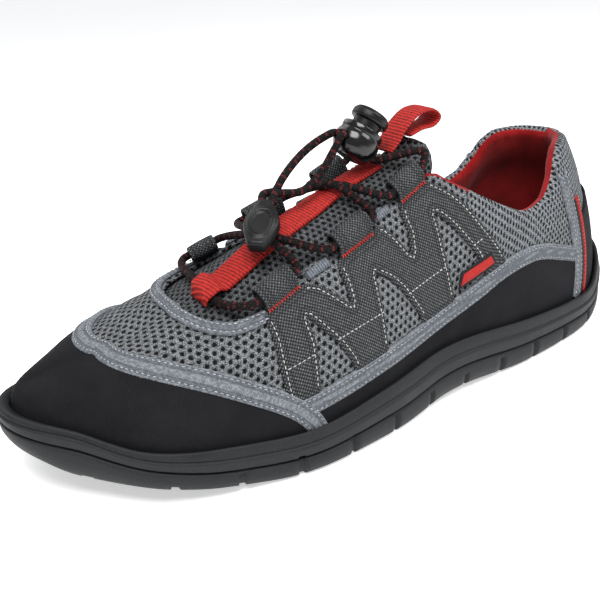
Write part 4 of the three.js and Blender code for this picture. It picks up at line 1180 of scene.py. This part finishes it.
def closed_sheet(top, bottom):
    """A solid between two sheets with the same rows and columns."""
    rows, columns = top.shape[:2]
    total = rows * columns
    at = np.arange(total).reshape(rows, columns)
    quads = np.stack([at[:-1, :-1], at[:-1, 1:], at[1:, 1:], at[1:, :-1]], -1).reshape(-1, 4)
    edge = np.concatenate([at[0, :-1], at[:-1, -1], at[-1, :0:-1], at[:0:-1, 0]])
    ahead = np.roll(edge, -1)
    walls = np.stack([edge, edge + total, ahead + total, ahead], 1)
    faces = quads.tolist() + (quads[:, ::-1] + total).tolist() + walls.tolist()
    return np.concatenate([top.reshape(-1, 3), bottom.reshape(-1, 3)]), faces


top, bottom, u = insole_shell()
points, faces = closed_sheet(top, bottom)
lay = np.stack([points[:, 0], points[:, 1], np.full(len(points), 9.0)], 1)
footbed = piece("footbed", points, faces, dark_lining, lay, slot="lining", stands_for=("insole",))

# %% [markdown]
# ## Guards and bands
# Black guards rise from the sole, and grey tapes cover their cut edges. The tapes lie a little
# higher than the cloth that ends under them, as they do when they are sewn on last.

# %% Toe
TAPE_TOP, CLOTH_TOP, SEAT = 1.75, 1.0, 0.05
above = (toe_line[:, 1] > BOTTOM) & (toe_line[:, 1] < 2 - BOTTOM)
toe_run = toe_line[above]
toe_far, toe_under = beside(toe_run, 8.0), beside(toe_run, 6.5)
cut("toe_guard_cloth", [np.concatenate([toe_under, [[toe_under[-1, 0], 2], [1, 2], [1, 0],
                                                    [toe_under[0, 0], 0]]])],
    guard_cloth, SEAT, CLOTH_TOP, step=2.0, slot="guard", stands_for=("toe_guard",))
cut("toe_tape", [np.concatenate([toe_run, toe_far[::-1]])], band_tape, SEAT, TAPE_TOP, step=1.6,
    slot="tape", stands_for=("toe_band",))
throat_far = beside(throat_line, 4.6)
cut("throat_tape", [np.concatenate([throat_line, throat_far[::-1]])], band_tape, SEAT,
    lambda u, v: TAPE_TOP - 0.65 * (1 - smooth(u, 0.646, 0.662)), step=1.3, slot="tape",
    stands_for=("throat_band",))

# %% Sides and heel
counter_line = np.array([[0.23, 0.24], [0.2, 0.26], [0.12, 0.3], [0.05, 0.312], [0.0, 0.315]])


def ends_of(line, low, high):
    return line[(line[:, 0] > low) & (line[:, 0] < high)]


def under_collar(line, outer):
    """A line kept just below the collar's cut edge."""
    tops = np.array([collar_level(u, not outer) for u in line[:, 0]]) - 0.012
    level = np.minimum(line[:, 1], tops) if outer else np.maximum(line[:, 1], 2 - tops)
    return np.stack([line[:, 0], level], 1)


for outer in (True, False):
    side, sign = ("outer", 1) if outer else ("inner", -1)
    low_level = 0.0 if outer else 2.0
    line = on_side(outer, quarter_line)
    far = beside(line, -7 * sign)
    under = beside(line, -5.5 * sign)
    heel = on_side(outer, heel_line)
    heel_mid = beside(heel, 3 * sign)
    toe_mid = beside(toe_run, 3.5)
    near = toe_mid[np.abs(toe_mid[:, 1] - low_level) < 0.19]
    near = near if outer else near[::-1]
    middle = ends_of(under, heel_mid[:, 0].min() + 0.002, near[:, 0].max() - 0.002)
    down = heel_mid[(np.abs(heel_mid[:, 1] - low_level) < 0.14) & (np.abs(heel_mid[:, 1] - 1) < 1)]
    loop = np.concatenate([near, middle, down])
    loop = np.concatenate([loop, [[loop[-1, 0], low_level], [loop[0, 0], low_level]]])
    cut(f"side_guard_cloth_{side}", [loop], guard_cloth, SEAT, CLOTH_TOP, step=1.8, slot="guard",
        stands_for=(f"side_guard_{side}",))
    cut(f"quarter_tape_{side}", [np.concatenate([line, far[::-1]])], band_tape, SEAT, TAPE_TOP - 0.2,
        slot="tape", stands_for=(f"quarter_band_{side}",))
    short = under_collar(heel[np.abs(heel[:, 1] - 1) < 1], outer)
    tape_far = under_collar(beside(short, 6.4 * sign), outer)
    cut(f"heel_tape_{side}", [np.concatenate([short, tape_far[::-1]])], band_tape, SEAT, TAPE_TOP,
        step=1.3, slot="tape", stands_for=(f"heel_band_{side}",))
    stripe = short[np.abs(short[:, 1] - low_level) < 0.3]
    for name, start, end, cloth, stands in (
            ("heel_stripe_dark", 5.6, 10.2, stripe_cloth, ()),
            ("heel_stripe_red", 10.2, 13.7, red_stripe, (f"heel_stripe_{side}",))):
        edges = [beside(stripe, distance * sign) for distance in (start, end)]
        cut(f"{name}_{side}", [np.concatenate([edges[0], edges[1][::-1]])], cloth, SEAT, 1.3, step=1.2,
            slot="guard" if name.endswith("dark") else "red_webbing", stands_for=stands)
    stop = beside(stripe, 12.6 * sign)[::-1]
    top = on_side(outer, counter_line)
    top = top[top[:, 0] < stop[-1, 0] - 0.004]
    counter = np.concatenate([[[0, low_level]], [[stop[0, 0], low_level]], stop, top])
    cut(f"heel_counter_{side}", [counter], guard_cloth, SEAT, CLOTH_TOP, step=1.6, slot="guard",
        stands_for=("heel_counter",) if outer else ())

# %% [markdown]
# ## Straps
# One cloth panel a side is cut into three upright straps. Its windows open the net between them, and
# its edges carry a sewn trough. The windows are holes in the flat pattern, so no knife solids are
# needed.

# %% Strap panels
WINDOWS = [
    [[0.592, 0.8], [0.592, 0.6], [0.583, 0.575], [0.574, 0.52], [0.562, 0.445], [0.559, 0.51],
     [0.557, 0.58], [0.557, 0.8]],
    [[0.502, 0.8], [0.502, 0.64], [0.495, 0.62], [0.49, 0.57], [0.486, 0.52], [0.482, 0.47],
     [0.475, 0.54], [0.474, 0.6], [0.474, 0.8]],
    [[0.607, 0.49], [0.608, 0.39], [0.611, 0.34], [0.618, 0.2], [0.577, 0.2], [0.58, 0.27], [0.588, 0.35],
     [0.598, 0.42]],
    [[0.526, 0.49], [0.531, 0.4], [0.536, 0.29], [0.54, 0.2], [0.487, 0.2], [0.494, 0.28],
     [0.505, 0.38], [0.514, 0.44]],
    [[0.442, 0.55], [0.445, 0.48], [0.448, 0.41], [0.449, 0.36], [0.451, 0.2], [0.406, 0.2],
     [0.415, 0.33], [0.424, 0.4], [0.434, 0.49]],
]
CREST = np.array([[0.646, 0.592], [0.598, 0.61], [0.552, 0.612], [0.508, 0.622], [0.469, 0.66],
                  [0.431, 0.69]])
FRONT = np.array([[0.646, 0.592], [0.646, 0.49], [0.649, 0.38], [0.65, 0.27], [0.65, 0.2]])
REAR = np.array([[0.431, 0.69], [0.413, 0.56], [0.399, 0.42], [0.383, 0.29], [0.376, 0.2]])


def panel_outline():
    """Outline of the panel, with the two upper windows cut in from its crest."""
    crest = run(CREST, 40)
    rows = []
    for window in sorted(WINDOWS[:2], key=lambda w: -w[0][0]):
        window = np.array(window)
        first, last = window[1, 0], window[-2, 0]
        rows.append(crest[crest[:, 0] > first + 0.003])
        rows.append(window[1:-1])
        crest = crest[crest[:, 0] < last - 0.003]
    top = np.concatenate(rows + [crest])
    return np.concatenate([top, run(REAR, 20)[1:], run(FRONT, 20)[::-1][:-1]])


quarter_level = curve(quarter_line[::-1, 0], quarter_line[::-1, 1])


def above_band(loop, lift=-0.012):
    """Keeps a loop above the quarter band's upper edge."""
    loop = loop_points(np.asarray(loop, float), 1.5)
    return np.stack([loop[:, 0], np.maximum(loop[:, 1], quarter_level(loop[:, 0]) + lift)], 1)


def tidy_loop(loop):
    """Drops points that lie on top of each other."""
    away = np.linalg.norm((loop - np.roll(loop, 1, 0)) * PLANE, axis=1)
    return loop[away > 0.12]


outline = tidy_loop(above_band(panel_outline(), -0.02))
lower_windows = [tidy_loop(above_band(window, -0.008)) for window in WINDOWS[2:]]
for outer in (True, False):
    side = "outer" if outer else "inner"
    loops = [on_side(outer, loop) for loop in [outline, *lower_windows]]
    cut(f"straps_{side}", loops, strap_cloth, SEAT, 1.25, step=1.2, insets=(0.3, 0.7), slot="strap",
        stands_for=(f"strap_panel_{side}",))
    for i, tab in enumerate([
            [[0.588, 0.606], [0.561, 0.606], [0.561, 0.65], [0.588, 0.642]],
            [[0.498, 0.646], [0.479, 0.65], [0.479, 0.69], [0.498, 0.68]]]):
        cut(f"eye_tab_{side}_{i + 1}", [on_side(outer, np.array(tab))], eye_tape, SEAT, 1.5, step=1.0,
            slot="tape", stands_for=(f"eye_tape_{side}_{i + 1}",))

# %% [markdown]
# ## Lace loops
# Each strap ends in a loop folded over the lace. The loop is a flattened ring drawn along the edge of
# the throat, thin as the strap, with a hole just larger than the lace.

# %% Loop frames
TACKS = [
    ((0.64, 0.598), (0.6, 0.614), 0.0, 0.0), ((0.55, 0.618), (0.509, 0.628), 0.0, 0.7),
    ((0.467, 0.667), (0.433, 0.694), 0.0, 1.0),
]
LOOP_WIDE, LOOP_SKIN = 8.5, 0.8
HOLE = 2 * (LACE + GAP)
LOOP_HIGH = HOLE + 2 * LOOP_SKIN


def loop_frame(outer, tack):
    front, rear, *lifts = tack
    ends = on_side(outer, [front, rear])
    start, end = form(*ends.T)
    first, last = (start, end) if outer else (end, start)
    axis = last - first
    length = np.linalg.norm(axis)
    axis = axis / length
    middle = on_side(outer, [(np.array(front) + np.array(rear)) / 2])[0]
    rise = normal(*middle)
    rise = unit(rise - axis * (rise @ axis))
    lift = lifts[0] if outer else lifts[1]
    rise = rise * np.cos(lift) + np.cross(axis, rise) * np.sin(lift)
    return first, axis, rise, np.cross(rise, axis), length, start, end


def rounded_slot(width, height, count=44):
    turn = np.linspace(0, 2 * np.pi, count, endpoint=False)
    half_straight = width / 2 - height / 2
    return np.stack([np.sign(np.cos(turn)) * half_straight + np.cos(turn) * height / 2,
                     np.sin(turn) * height / 2], 1)


def loop_shell(outer, tack, rows=15):
    first, axis, rise, inward, length, *_ = loop_frame(outer, tack)
    shares = np.concatenate([[0, 0.012, 0.03], np.linspace(0.07, 0.93, rows), [0.97, 0.988, 1]])
    outer_rows, inner_rows = [], []
    for share in shares:
        close = min(share, 1 - share) * length
        soft = np.sqrt(max(0.12, 1 - (1 - min(close / 0.5, 1)) ** 2))
        belly = 0.35 * np.sin(np.pi * share)
        for sheet, width, height in ((outer_rows, LOOP_WIDE + belly, LOOP_HIGH + belly),
                                     (inner_rows, LOOP_WIDE - 2 * LOOP_SKIN, HOLE)):
            thin = (1 - soft) * LOOP_SKIN * (1 if sheet is outer_rows else 0)
            flat = rounded_slot(width - thin, height - thin)
            centre = np.array([GAP + LOOP_WIDE / 2, 2 * GAP + LOOP_HIGH / 2])
            across, high = (flat + centre).T
            inner_sheet = sheet is inner_rows
            low = 0.7 if inner_sheet else 0.05
            high = low + (high - 2 * GAP - LOOP_SKIN * inner_sheet) * (
                0.28 + 0.72 * smooth(across, 0.1 + inner_sheet, 3.3)) * (1 + 0.11 * (not inner_sheet))
            across = across - 1.3 * (1 - smooth(across, 0.0, 4.0))
            sheet.append(first + axis * share * length + across[:, None] * inward + high[:, None] * rise)
    rows, count = len(shares), len(outer_rows[0])
    points = np.concatenate(outer_rows + inner_rows)
    faces = ring_faces(rows, count)
    faces += [quad[::-1] for quad in ring_faces(rows, count, rows * count)]
    for r in (0, rows - 1):
        for k in range(count):
            a, b = r * count + k, r * count + (k + 1) % count
            faces.append([a, b, b + rows * count, a + rows * count])
    ring = outer_rows[rows // 2]
    around = np.cumsum(np.linalg.norm(ring - np.roll(ring, 1, 0), axis=1))
    around = np.tile(around, 2 * rows)
    along = np.tile(np.repeat(shares * length, count), 2)
    edge = np.minimum(along, length - along)
    return points, faces, np.stack([along, around, edge], 1)


for outer in (True, False):
    side = "outer" if outer else "inner"
    for i, tack in enumerate(TACKS):
        points, faces, lay = loop_shell(outer, tack)
        piece(f"loop_{side}_{i + 1}", points, faces, strap_cloth, lay, slot="strap",
              stands_for=(f"lace_loop_{side}_{i + 1}",))

# %% [markdown]
# ## Tongue, red webbing and pull loop
# The tongue is a thin padded net below the throat. A red ribbed webbing runs up its middle, arches
# over the lace at its foot, and ends at the top in a folded pull loop.

# %% Tongue and webbing
TONGUE = np.array([
    [0.394, 0.84, 1.12], [0.402, 0.76, 1.2], [0.43, 0.66, 1.27], [0.5, 0.58, 1.32], [0.6, 0.56, 1.37],
    [0.66, 0.58, 1.36], [0.715, 0.68, 1.26], [0.742, 0.8, 1.16]])
TONGUE_TOP = -(WALL + GAP + 0.05)
BAR = 0.679
WEBBING_BASE = TONGUE_TOP + 3 * GAP
tongue_sides = [run(TONGUE[:, [0, i]], 30) for i in (1, 2)]
tongue = cut("padded_tongue", [np.concatenate([tongue_sides[0], tongue_sides[1][::-1]])],
             [tongue_net, red_lining], TONGUE_TOP - 3.0, TONGUE_TOP, step=1.6, insets=(0.4, 1.0),
             rounding=1.4, anchor=0.5, slot="tongue_mesh", stands_for=("tongue",))
webbing_line = run([[0.698, 0.9], [0.66, 0.905], [0.626, 0.91], [0.546, 0.93], [0.474, 0.975],
                    [0.441, 0.975]], 70)


def webbing_low(u, v):
    away = np.abs(u - BAR) / 0.02
    return WEBBING_BASE + 2 * (LACE + GAP) * (1 - smooth(away, 0.35, 1))


webbing_loop = np.concatenate([beside(webbing_line, 5.7), beside(webbing_line, -5.7)[::-1]])
cut("red_strip", [webbing_loop], red_webbing, webbing_low, lambda u, v: webbing_low(u, v) + 1.2,
    step=1.1, insets=(0.3, 0.7), rounding=0.5, slot="red_webbing", stands_for=("tongue_webbing",))

# %% Pull loop
pull_foot = skin(0.43, 0.97, WEBBING_BASE + 1.2)
PULL = np.array([[0, 1.2], [-3.6, 4.4], [-8, 9.8], [-15, 14.2], [-22.5, 14.4], [-25.6, 11.2],
                 [-22.6, 8.4], [-16, 7.8], [-10, 6.2]])
path = smooth_path(np.stack([PULL[:, 0], np.zeros(len(PULL)), PULL[:, 1]], 1), 0.8)
way = unit(np.gradient(path, axis=0))
across_way = np.array([0.0, 1.0, 0.0])
out_way = np.cross(way, across_way)
shares = np.linspace(-1, 1, 13)
thick = 1.2 * np.sqrt(np.clip(1 - np.abs(shares) ** 8, 0.25, 1))
sheets = []
for sense in (0.5, -0.5):
    rows = [pull_foot + path + across_way * share * 5.7 + out_way * sense * depth
            for share, depth in zip(shares, thick)]
    sheets.append(np.array(rows))
points, faces = closed_sheet(*sheets)
run_length = np.insert(np.cumsum(np.linalg.norm(np.diff(path, axis=0), axis=1)), 0, 0)
lay = np.tile(np.stack([np.tile(run_length, 13), np.repeat(shares * 5.7, len(path)),
                        np.repeat(5.7 * (1 - np.abs(shares)), len(path))], 1), (2, 1))
piece("pull_tab", points, faces, red_webbing, lay, slot="red_webbing", stands_for=("pull_loop",))

# %% [markdown]
# ## Lace
# One elastic lace zigzags up the throat. Each half leaves the lock backward, turns through the top
# loop, crosses the tongue twice and passes below the webbing at the throat's foot.

# %% Lace


def lace_in_loop(outer, tack):
    first, axis, rise, inward, length, start, end = loop_frame(outer, tack)
    lift = inward * (GAP + LOOP_WIDE / 2) + rise * (2 * GAP + LOOP_HIGH / 2)
    return [start + (end - start) * share + lift for share in (-0.2, 0.1, 0.5, 0.9, 1.2)]


def lace_half(outer):
    top, middle, low = [lace_in_loop(side, tack)[::-1] for side, tack in (
        (outer, TACKS[2]), (not outer, TACKS[1]), (outer, TACKS[0]))]
    sense = 1 if outer else -1
    first, axis, rise, inward, *_ = loop_frame(outer, TACKS[2])
    turns = [top[0] + axis * past * sense + inward * across for past, across in ((2.4, 5.4), (4.4, 3.4))]
    return smooth_path([
        *[slot_middle(sense) - lock_forward * d for d in (GAP / 2, LOCK_RADIUS * 0.6, LOCK_RADIUS + 1.4)],
        *turns, *top, skin(0.503, 0.915, 2.6), *middle, skin(0.593, 0.905, 2.6), *low,
        skin(0.664, 0.68 if outer else 1.24, 2.4),
        skin(BAR, 0.78 if outer else 1.02, WEBBING_BASE + LACE + 0.2),
        skin(BAR, 0.905, WEBBING_BASE + LACE),
        skin(BAR, 0.93 if outer else 0.88, WEBBING_BASE + LACE)])


for outer in (True, False):
    path = lace_half(outer)
    points, faces, lay = tube(path, LACE)
    piece(f"lace_{'outer' if outer else 'inner'}", points, faces, lace_braid, lay, slot="elastic_cord",
          stands_for=("lace",) if outer else ())
    print("  long", round(float(np.linalg.norm(np.diff(path, axis=0), axis=1).sum())), "mm")

# %% [markdown]
# ## Side label
# A folded tab is caught under the rear strap's edge. Here it is a plain red field on a dark tab.

# %% Side label
LABEL = np.array([[0.446, 0.262], [0.43, 0.262], [0.413, 0.264], [0.395, 0.27], [0.398, 0.312],
                  [0.412, 0.31], [0.426, 0.31], [0.439, 0.31]])
cut("label_tab", [LABEL], stripe_cloth, 1.3, 1.9, step=1.0, insets=(0.3,), rounding=0.4, slot="strap")
field = LABEL.mean(0) + (LABEL - LABEL.mean(0)) * [0.88, 0.64]
cut("label_field", [field], label_cloth, 1.8, 2.35, step=1.0, insets=(0.3,), rounding=0.4,
    slot="red_webbing", stands_for=("side_label",))

# %% [markdown]
# ## Sewing
# Every seam that shows is a row of real stitches, because a painted dash looks flat as soon as the
# light grazes it. A stitch is a short thread that dips at both ends.

# %% Stitches


def sewn(name, rows, finish, pitch=2.3, length=1.55, radius=0.2, slot="strap"):
    """Rows of stitches, each row a line of places and its distance from the form."""
    turn = np.linspace(0, 2 * np.pi, 6, endpoint=False)
    shares, lifts, sizes = [0, 0.22, 0.78, 1], [-0.28, 0.08, 0.08, -0.28], [0.45, 1, 1, 0.45]
    centres, ups, ways = [], [], []
    for line, off in rows:
        line = np.asarray(line, float)
        place, rise = skin(*line.T, np.full(len(line), off)), normal(*line.T)
        gone = np.insert(np.cumsum(np.linalg.norm(np.diff(place, axis=0), axis=1)), 0, 0)
        starts = np.arange(pitch * 0.2, gone[-1] - length, pitch)
        at = starts[:, None] + np.array(shares) * length
        centres.append(np.stack([np.interp(at, gone, place[:, i]) for i in range(3)], -1))
        ups.append(unit(np.stack([np.interp(at, gone, rise[:, i]) for i in range(3)], -1)))
    centres, ups = np.concatenate(centres), np.concatenate(ups)
    ways = unit(centres[:, -1:] - centres[:, :1])
    sides = unit(np.cross(ways, ups))
    centres = centres + ups * np.array(lifts)[None, :, None]
    size = radius * np.array(sizes)[None, :, None, None]
    points = (centres[:, :, None] + size * (np.cos(turn)[:, None] * ups[:, :, None] * 0.8
                                            + np.sin(turn)[:, None] * sides[:, :, None]))
    total = len(points)
    each = [[r * 6 + k, r * 6 + (k + 1) % 6, (r + 1) * 6 + (k + 1) % 6, (r + 1) * 6 + k]
            for r in range(3) for k in range(6)]
    caps = [list(range(6))[::-1], [18 + k for k in range(6)]]
    faces = [[i * 24 + k for k in face] for i in range(total) for face in each + caps]
    return piece(name, points.reshape(-1, 3), faces, finish, slot=slot)


def pieces_of(line, keep):
    """Runs of a line where a test holds."""
    runs, current = [], []
    for place, kept in zip(line, keep):
        if kept:
            current.append(place)
        elif current:
            runs.append(current)
            current = []
    return [np.array(r) for r in runs + [current] if len(r) > 3]


def seam_rows(loops, inset, step=1.0):
    """Lines inside the cloth at a distance from its cut edges."""
    loops = [anticlockwise(loop) for loop in loops]
    tree = tree_of(loops)
    rows = []
    for i, loop in enumerate(loops):
        ring = beside(loop_points(loop, step), inset if i else -inset, closed=True)
        ring = np.concatenate([ring, ring[:1]])
        kept = in_cloth(ring, loops) & (to_edge(tree, ring) > inset * 0.93)
        rows += pieces_of(ring, kept)
    return rows


for outer in (True, False):
    side, sign = ("outer", 1) if outer else ("inner", -1)
    loops = [on_side(outer, loop) for loop in [outline, *lower_windows]]
    rows = []
    for row in seam_rows(loops, 1.7):
        level = row[:, 1] if outer else 2 - row[:, 1]
        flat_u = row[:, 0]
        place = form(*row.T)
        near_tack = np.min([np.linalg.norm(place - tack_place, axis=1) for front, rear, *_ in TACKS
                            for tack_place in form(*np.linspace(*on_side(outer, [front, rear]), 12).T)], 0)
        rows += pieces_of(row, (level > quarter_level(flat_u) + 0.015) & (near_tack > 2.4))
    waist = run([[0.644, 0.35], [0.591, 0.36], [0.534, 0.36], [0.464, 0.36], [0.4, 0.37]], 120)
    waist = on_side(outer, waist)
    rows += pieces_of(waist, in_cloth(waist, [anticlockwise(loop) for loop in loops]))
    sewn(f"strap_stitches_{side}", [(row, 1.28) for row in rows], white_thread, pitch=2.0, length=1.5,
         radius=0.18)
    line = on_side(outer, quarter_line)
    heel = under_collar(on_side(outer, heel_line), outer)
    heel = heel[np.abs(heel[:, 1] - 1) < 1]
    tapes = [(beside(line, -d * sign), TAPE_TOP - 0.17) for d in (1.3, 5.7)]
    for d in (1.3, 5.1):
        row = beside(heel, d * sign)
        x, _, z = form(*row.T).T
        clear = z < collar_up((x - START) / LAST) * COLLAR - 3
        tapes += [(part, TAPE_TOP + 0.03) for part in pieces_of(row, clear)]
    sewn(f"tape_stitches_{side}", tapes, grey_thread, pitch=2.1, length=1.35, radius=0.18, slot="tape")
toe_rows = [(beside(toe_run, d), TAPE_TOP + 0.03) for d in (1.3, 6.7)]
toe_rows += [(beside(throat_line, d), TAPE_TOP + 0.03) for d in (1.1, 3.6)]
sewn("toe_stitches", toe_rows, grey_thread, pitch=2.1, length=1.35, radius=0.22, slot="tape")
sewn("webbing_stitches", [(beside(webbing_line[12:], d), WEBBING_BASE + 1.22) for d in (4.6, -4.6)],
     red_thread, pitch=2.0, length=1.3, radius=0.2, slot="red_webbing")

# %% [markdown]
# Bar tacks hold the loops down. Each is a tight zigzag of red thread across the strap.

# %% Bar tacks


def zigzag(start, end, rise, wide=0.9, pitch=0.6):
    way = end - start
    length = np.linalg.norm(way)
    count = int(length / pitch)
    shares = np.linspace(0.03, 0.97, count)[:, None]
    side = unit(np.cross(way, rise))
    swing = np.where(np.arange(count) % 2 == 0, 1.0, -1.0)[:, None]
    return start + way * shares + side * swing * wide


tack_points, tack_faces = [], []
for outer in (True, False):
    for front, rear, *_ in TACKS:
        ends = on_side(outer, [front, rear])
        level_shift = -0.004 if outer else 0.004
        ends = ends + [0, level_shift]
        start, end = skin(*ends.T, np.full(2, 1.72))
        path = zigzag(start, end, normal(*ends.mean(0)))
        points, faces, _ = tube(path, 0.34, 6)
        offset = sum(len(p) for p in tack_points)
        tack_points.append(points)
        tack_faces += [[k + offset for k in face] for face in faces]
piece("bar_tacks", np.concatenate(tack_points), tack_faces, red_thread, slot="red_webbing")

# %% [markdown]
# ## Floor and light
# The shoe stands on a pale floor under a large soft light from above the toe, with a weaker one
# behind, as in a plain product shot.

# %% Floor and light
scene = bpy.context.scene
scene.view_settings.view_transform = "Standard"
world = bpy.data.worlds.new("studio")
scene.world = world
world.use_nodes = True
world.node_tree.nodes["Background"].inputs["Color"].default_value = (0.96, 0.97, 1.0, 1)
world.node_tree.nodes["Background"].inputs["Strength"].default_value = 0.42
floor_finish = Finish("floor", Roughness=0.85, Emission_Color=(1, 1, 1, 1), Emission_Strength=0.5)
cloud = floor_finish.noise(floor_finish.place(), 0.004, 2.0)
floor_finish.wear(floor_finish.mix(cloud, "f4f4f4", "ffffff"))
floor_mesh = bpy.data.meshes.new("floor")
reach = 14.0
floor_mesh.from_pydata([(-reach, -reach, -1e-4), (reach, -reach, -1e-4), (reach, reach, -1e-4),
                        (-reach, reach, -1e-4)], [], [(0, 1, 2, 3)])
floor_mesh.materials.append(floor_finish.material)
floor = bpy.data.objects.new("floor", floor_mesh)
bpy.context.collection.objects.link(floor)
aim = Vector((0.1, 0, 0.04))
for name, place, size, power in (
        ("key", (0.35, 0.25, 0.75), 0.45, 6.5), ("rear", (-0.35, 0.35, 0.6), 0.4, 3.0),
        ("fill", (0.2, -0.6, 0.5), 0.6, 1.5)):
    lamp = bpy.data.lights.new(name, "AREA")
    lamp.energy, lamp.size = power, size
    holder = bpy.data.objects.new(name, lamp)
    holder.location = place
    holder.rotation_euler = (aim - Vector(place)).to_track_quat("-Z", "Y").to_euler()
    bpy.context.collection.objects.link(holder)
print("lights set")
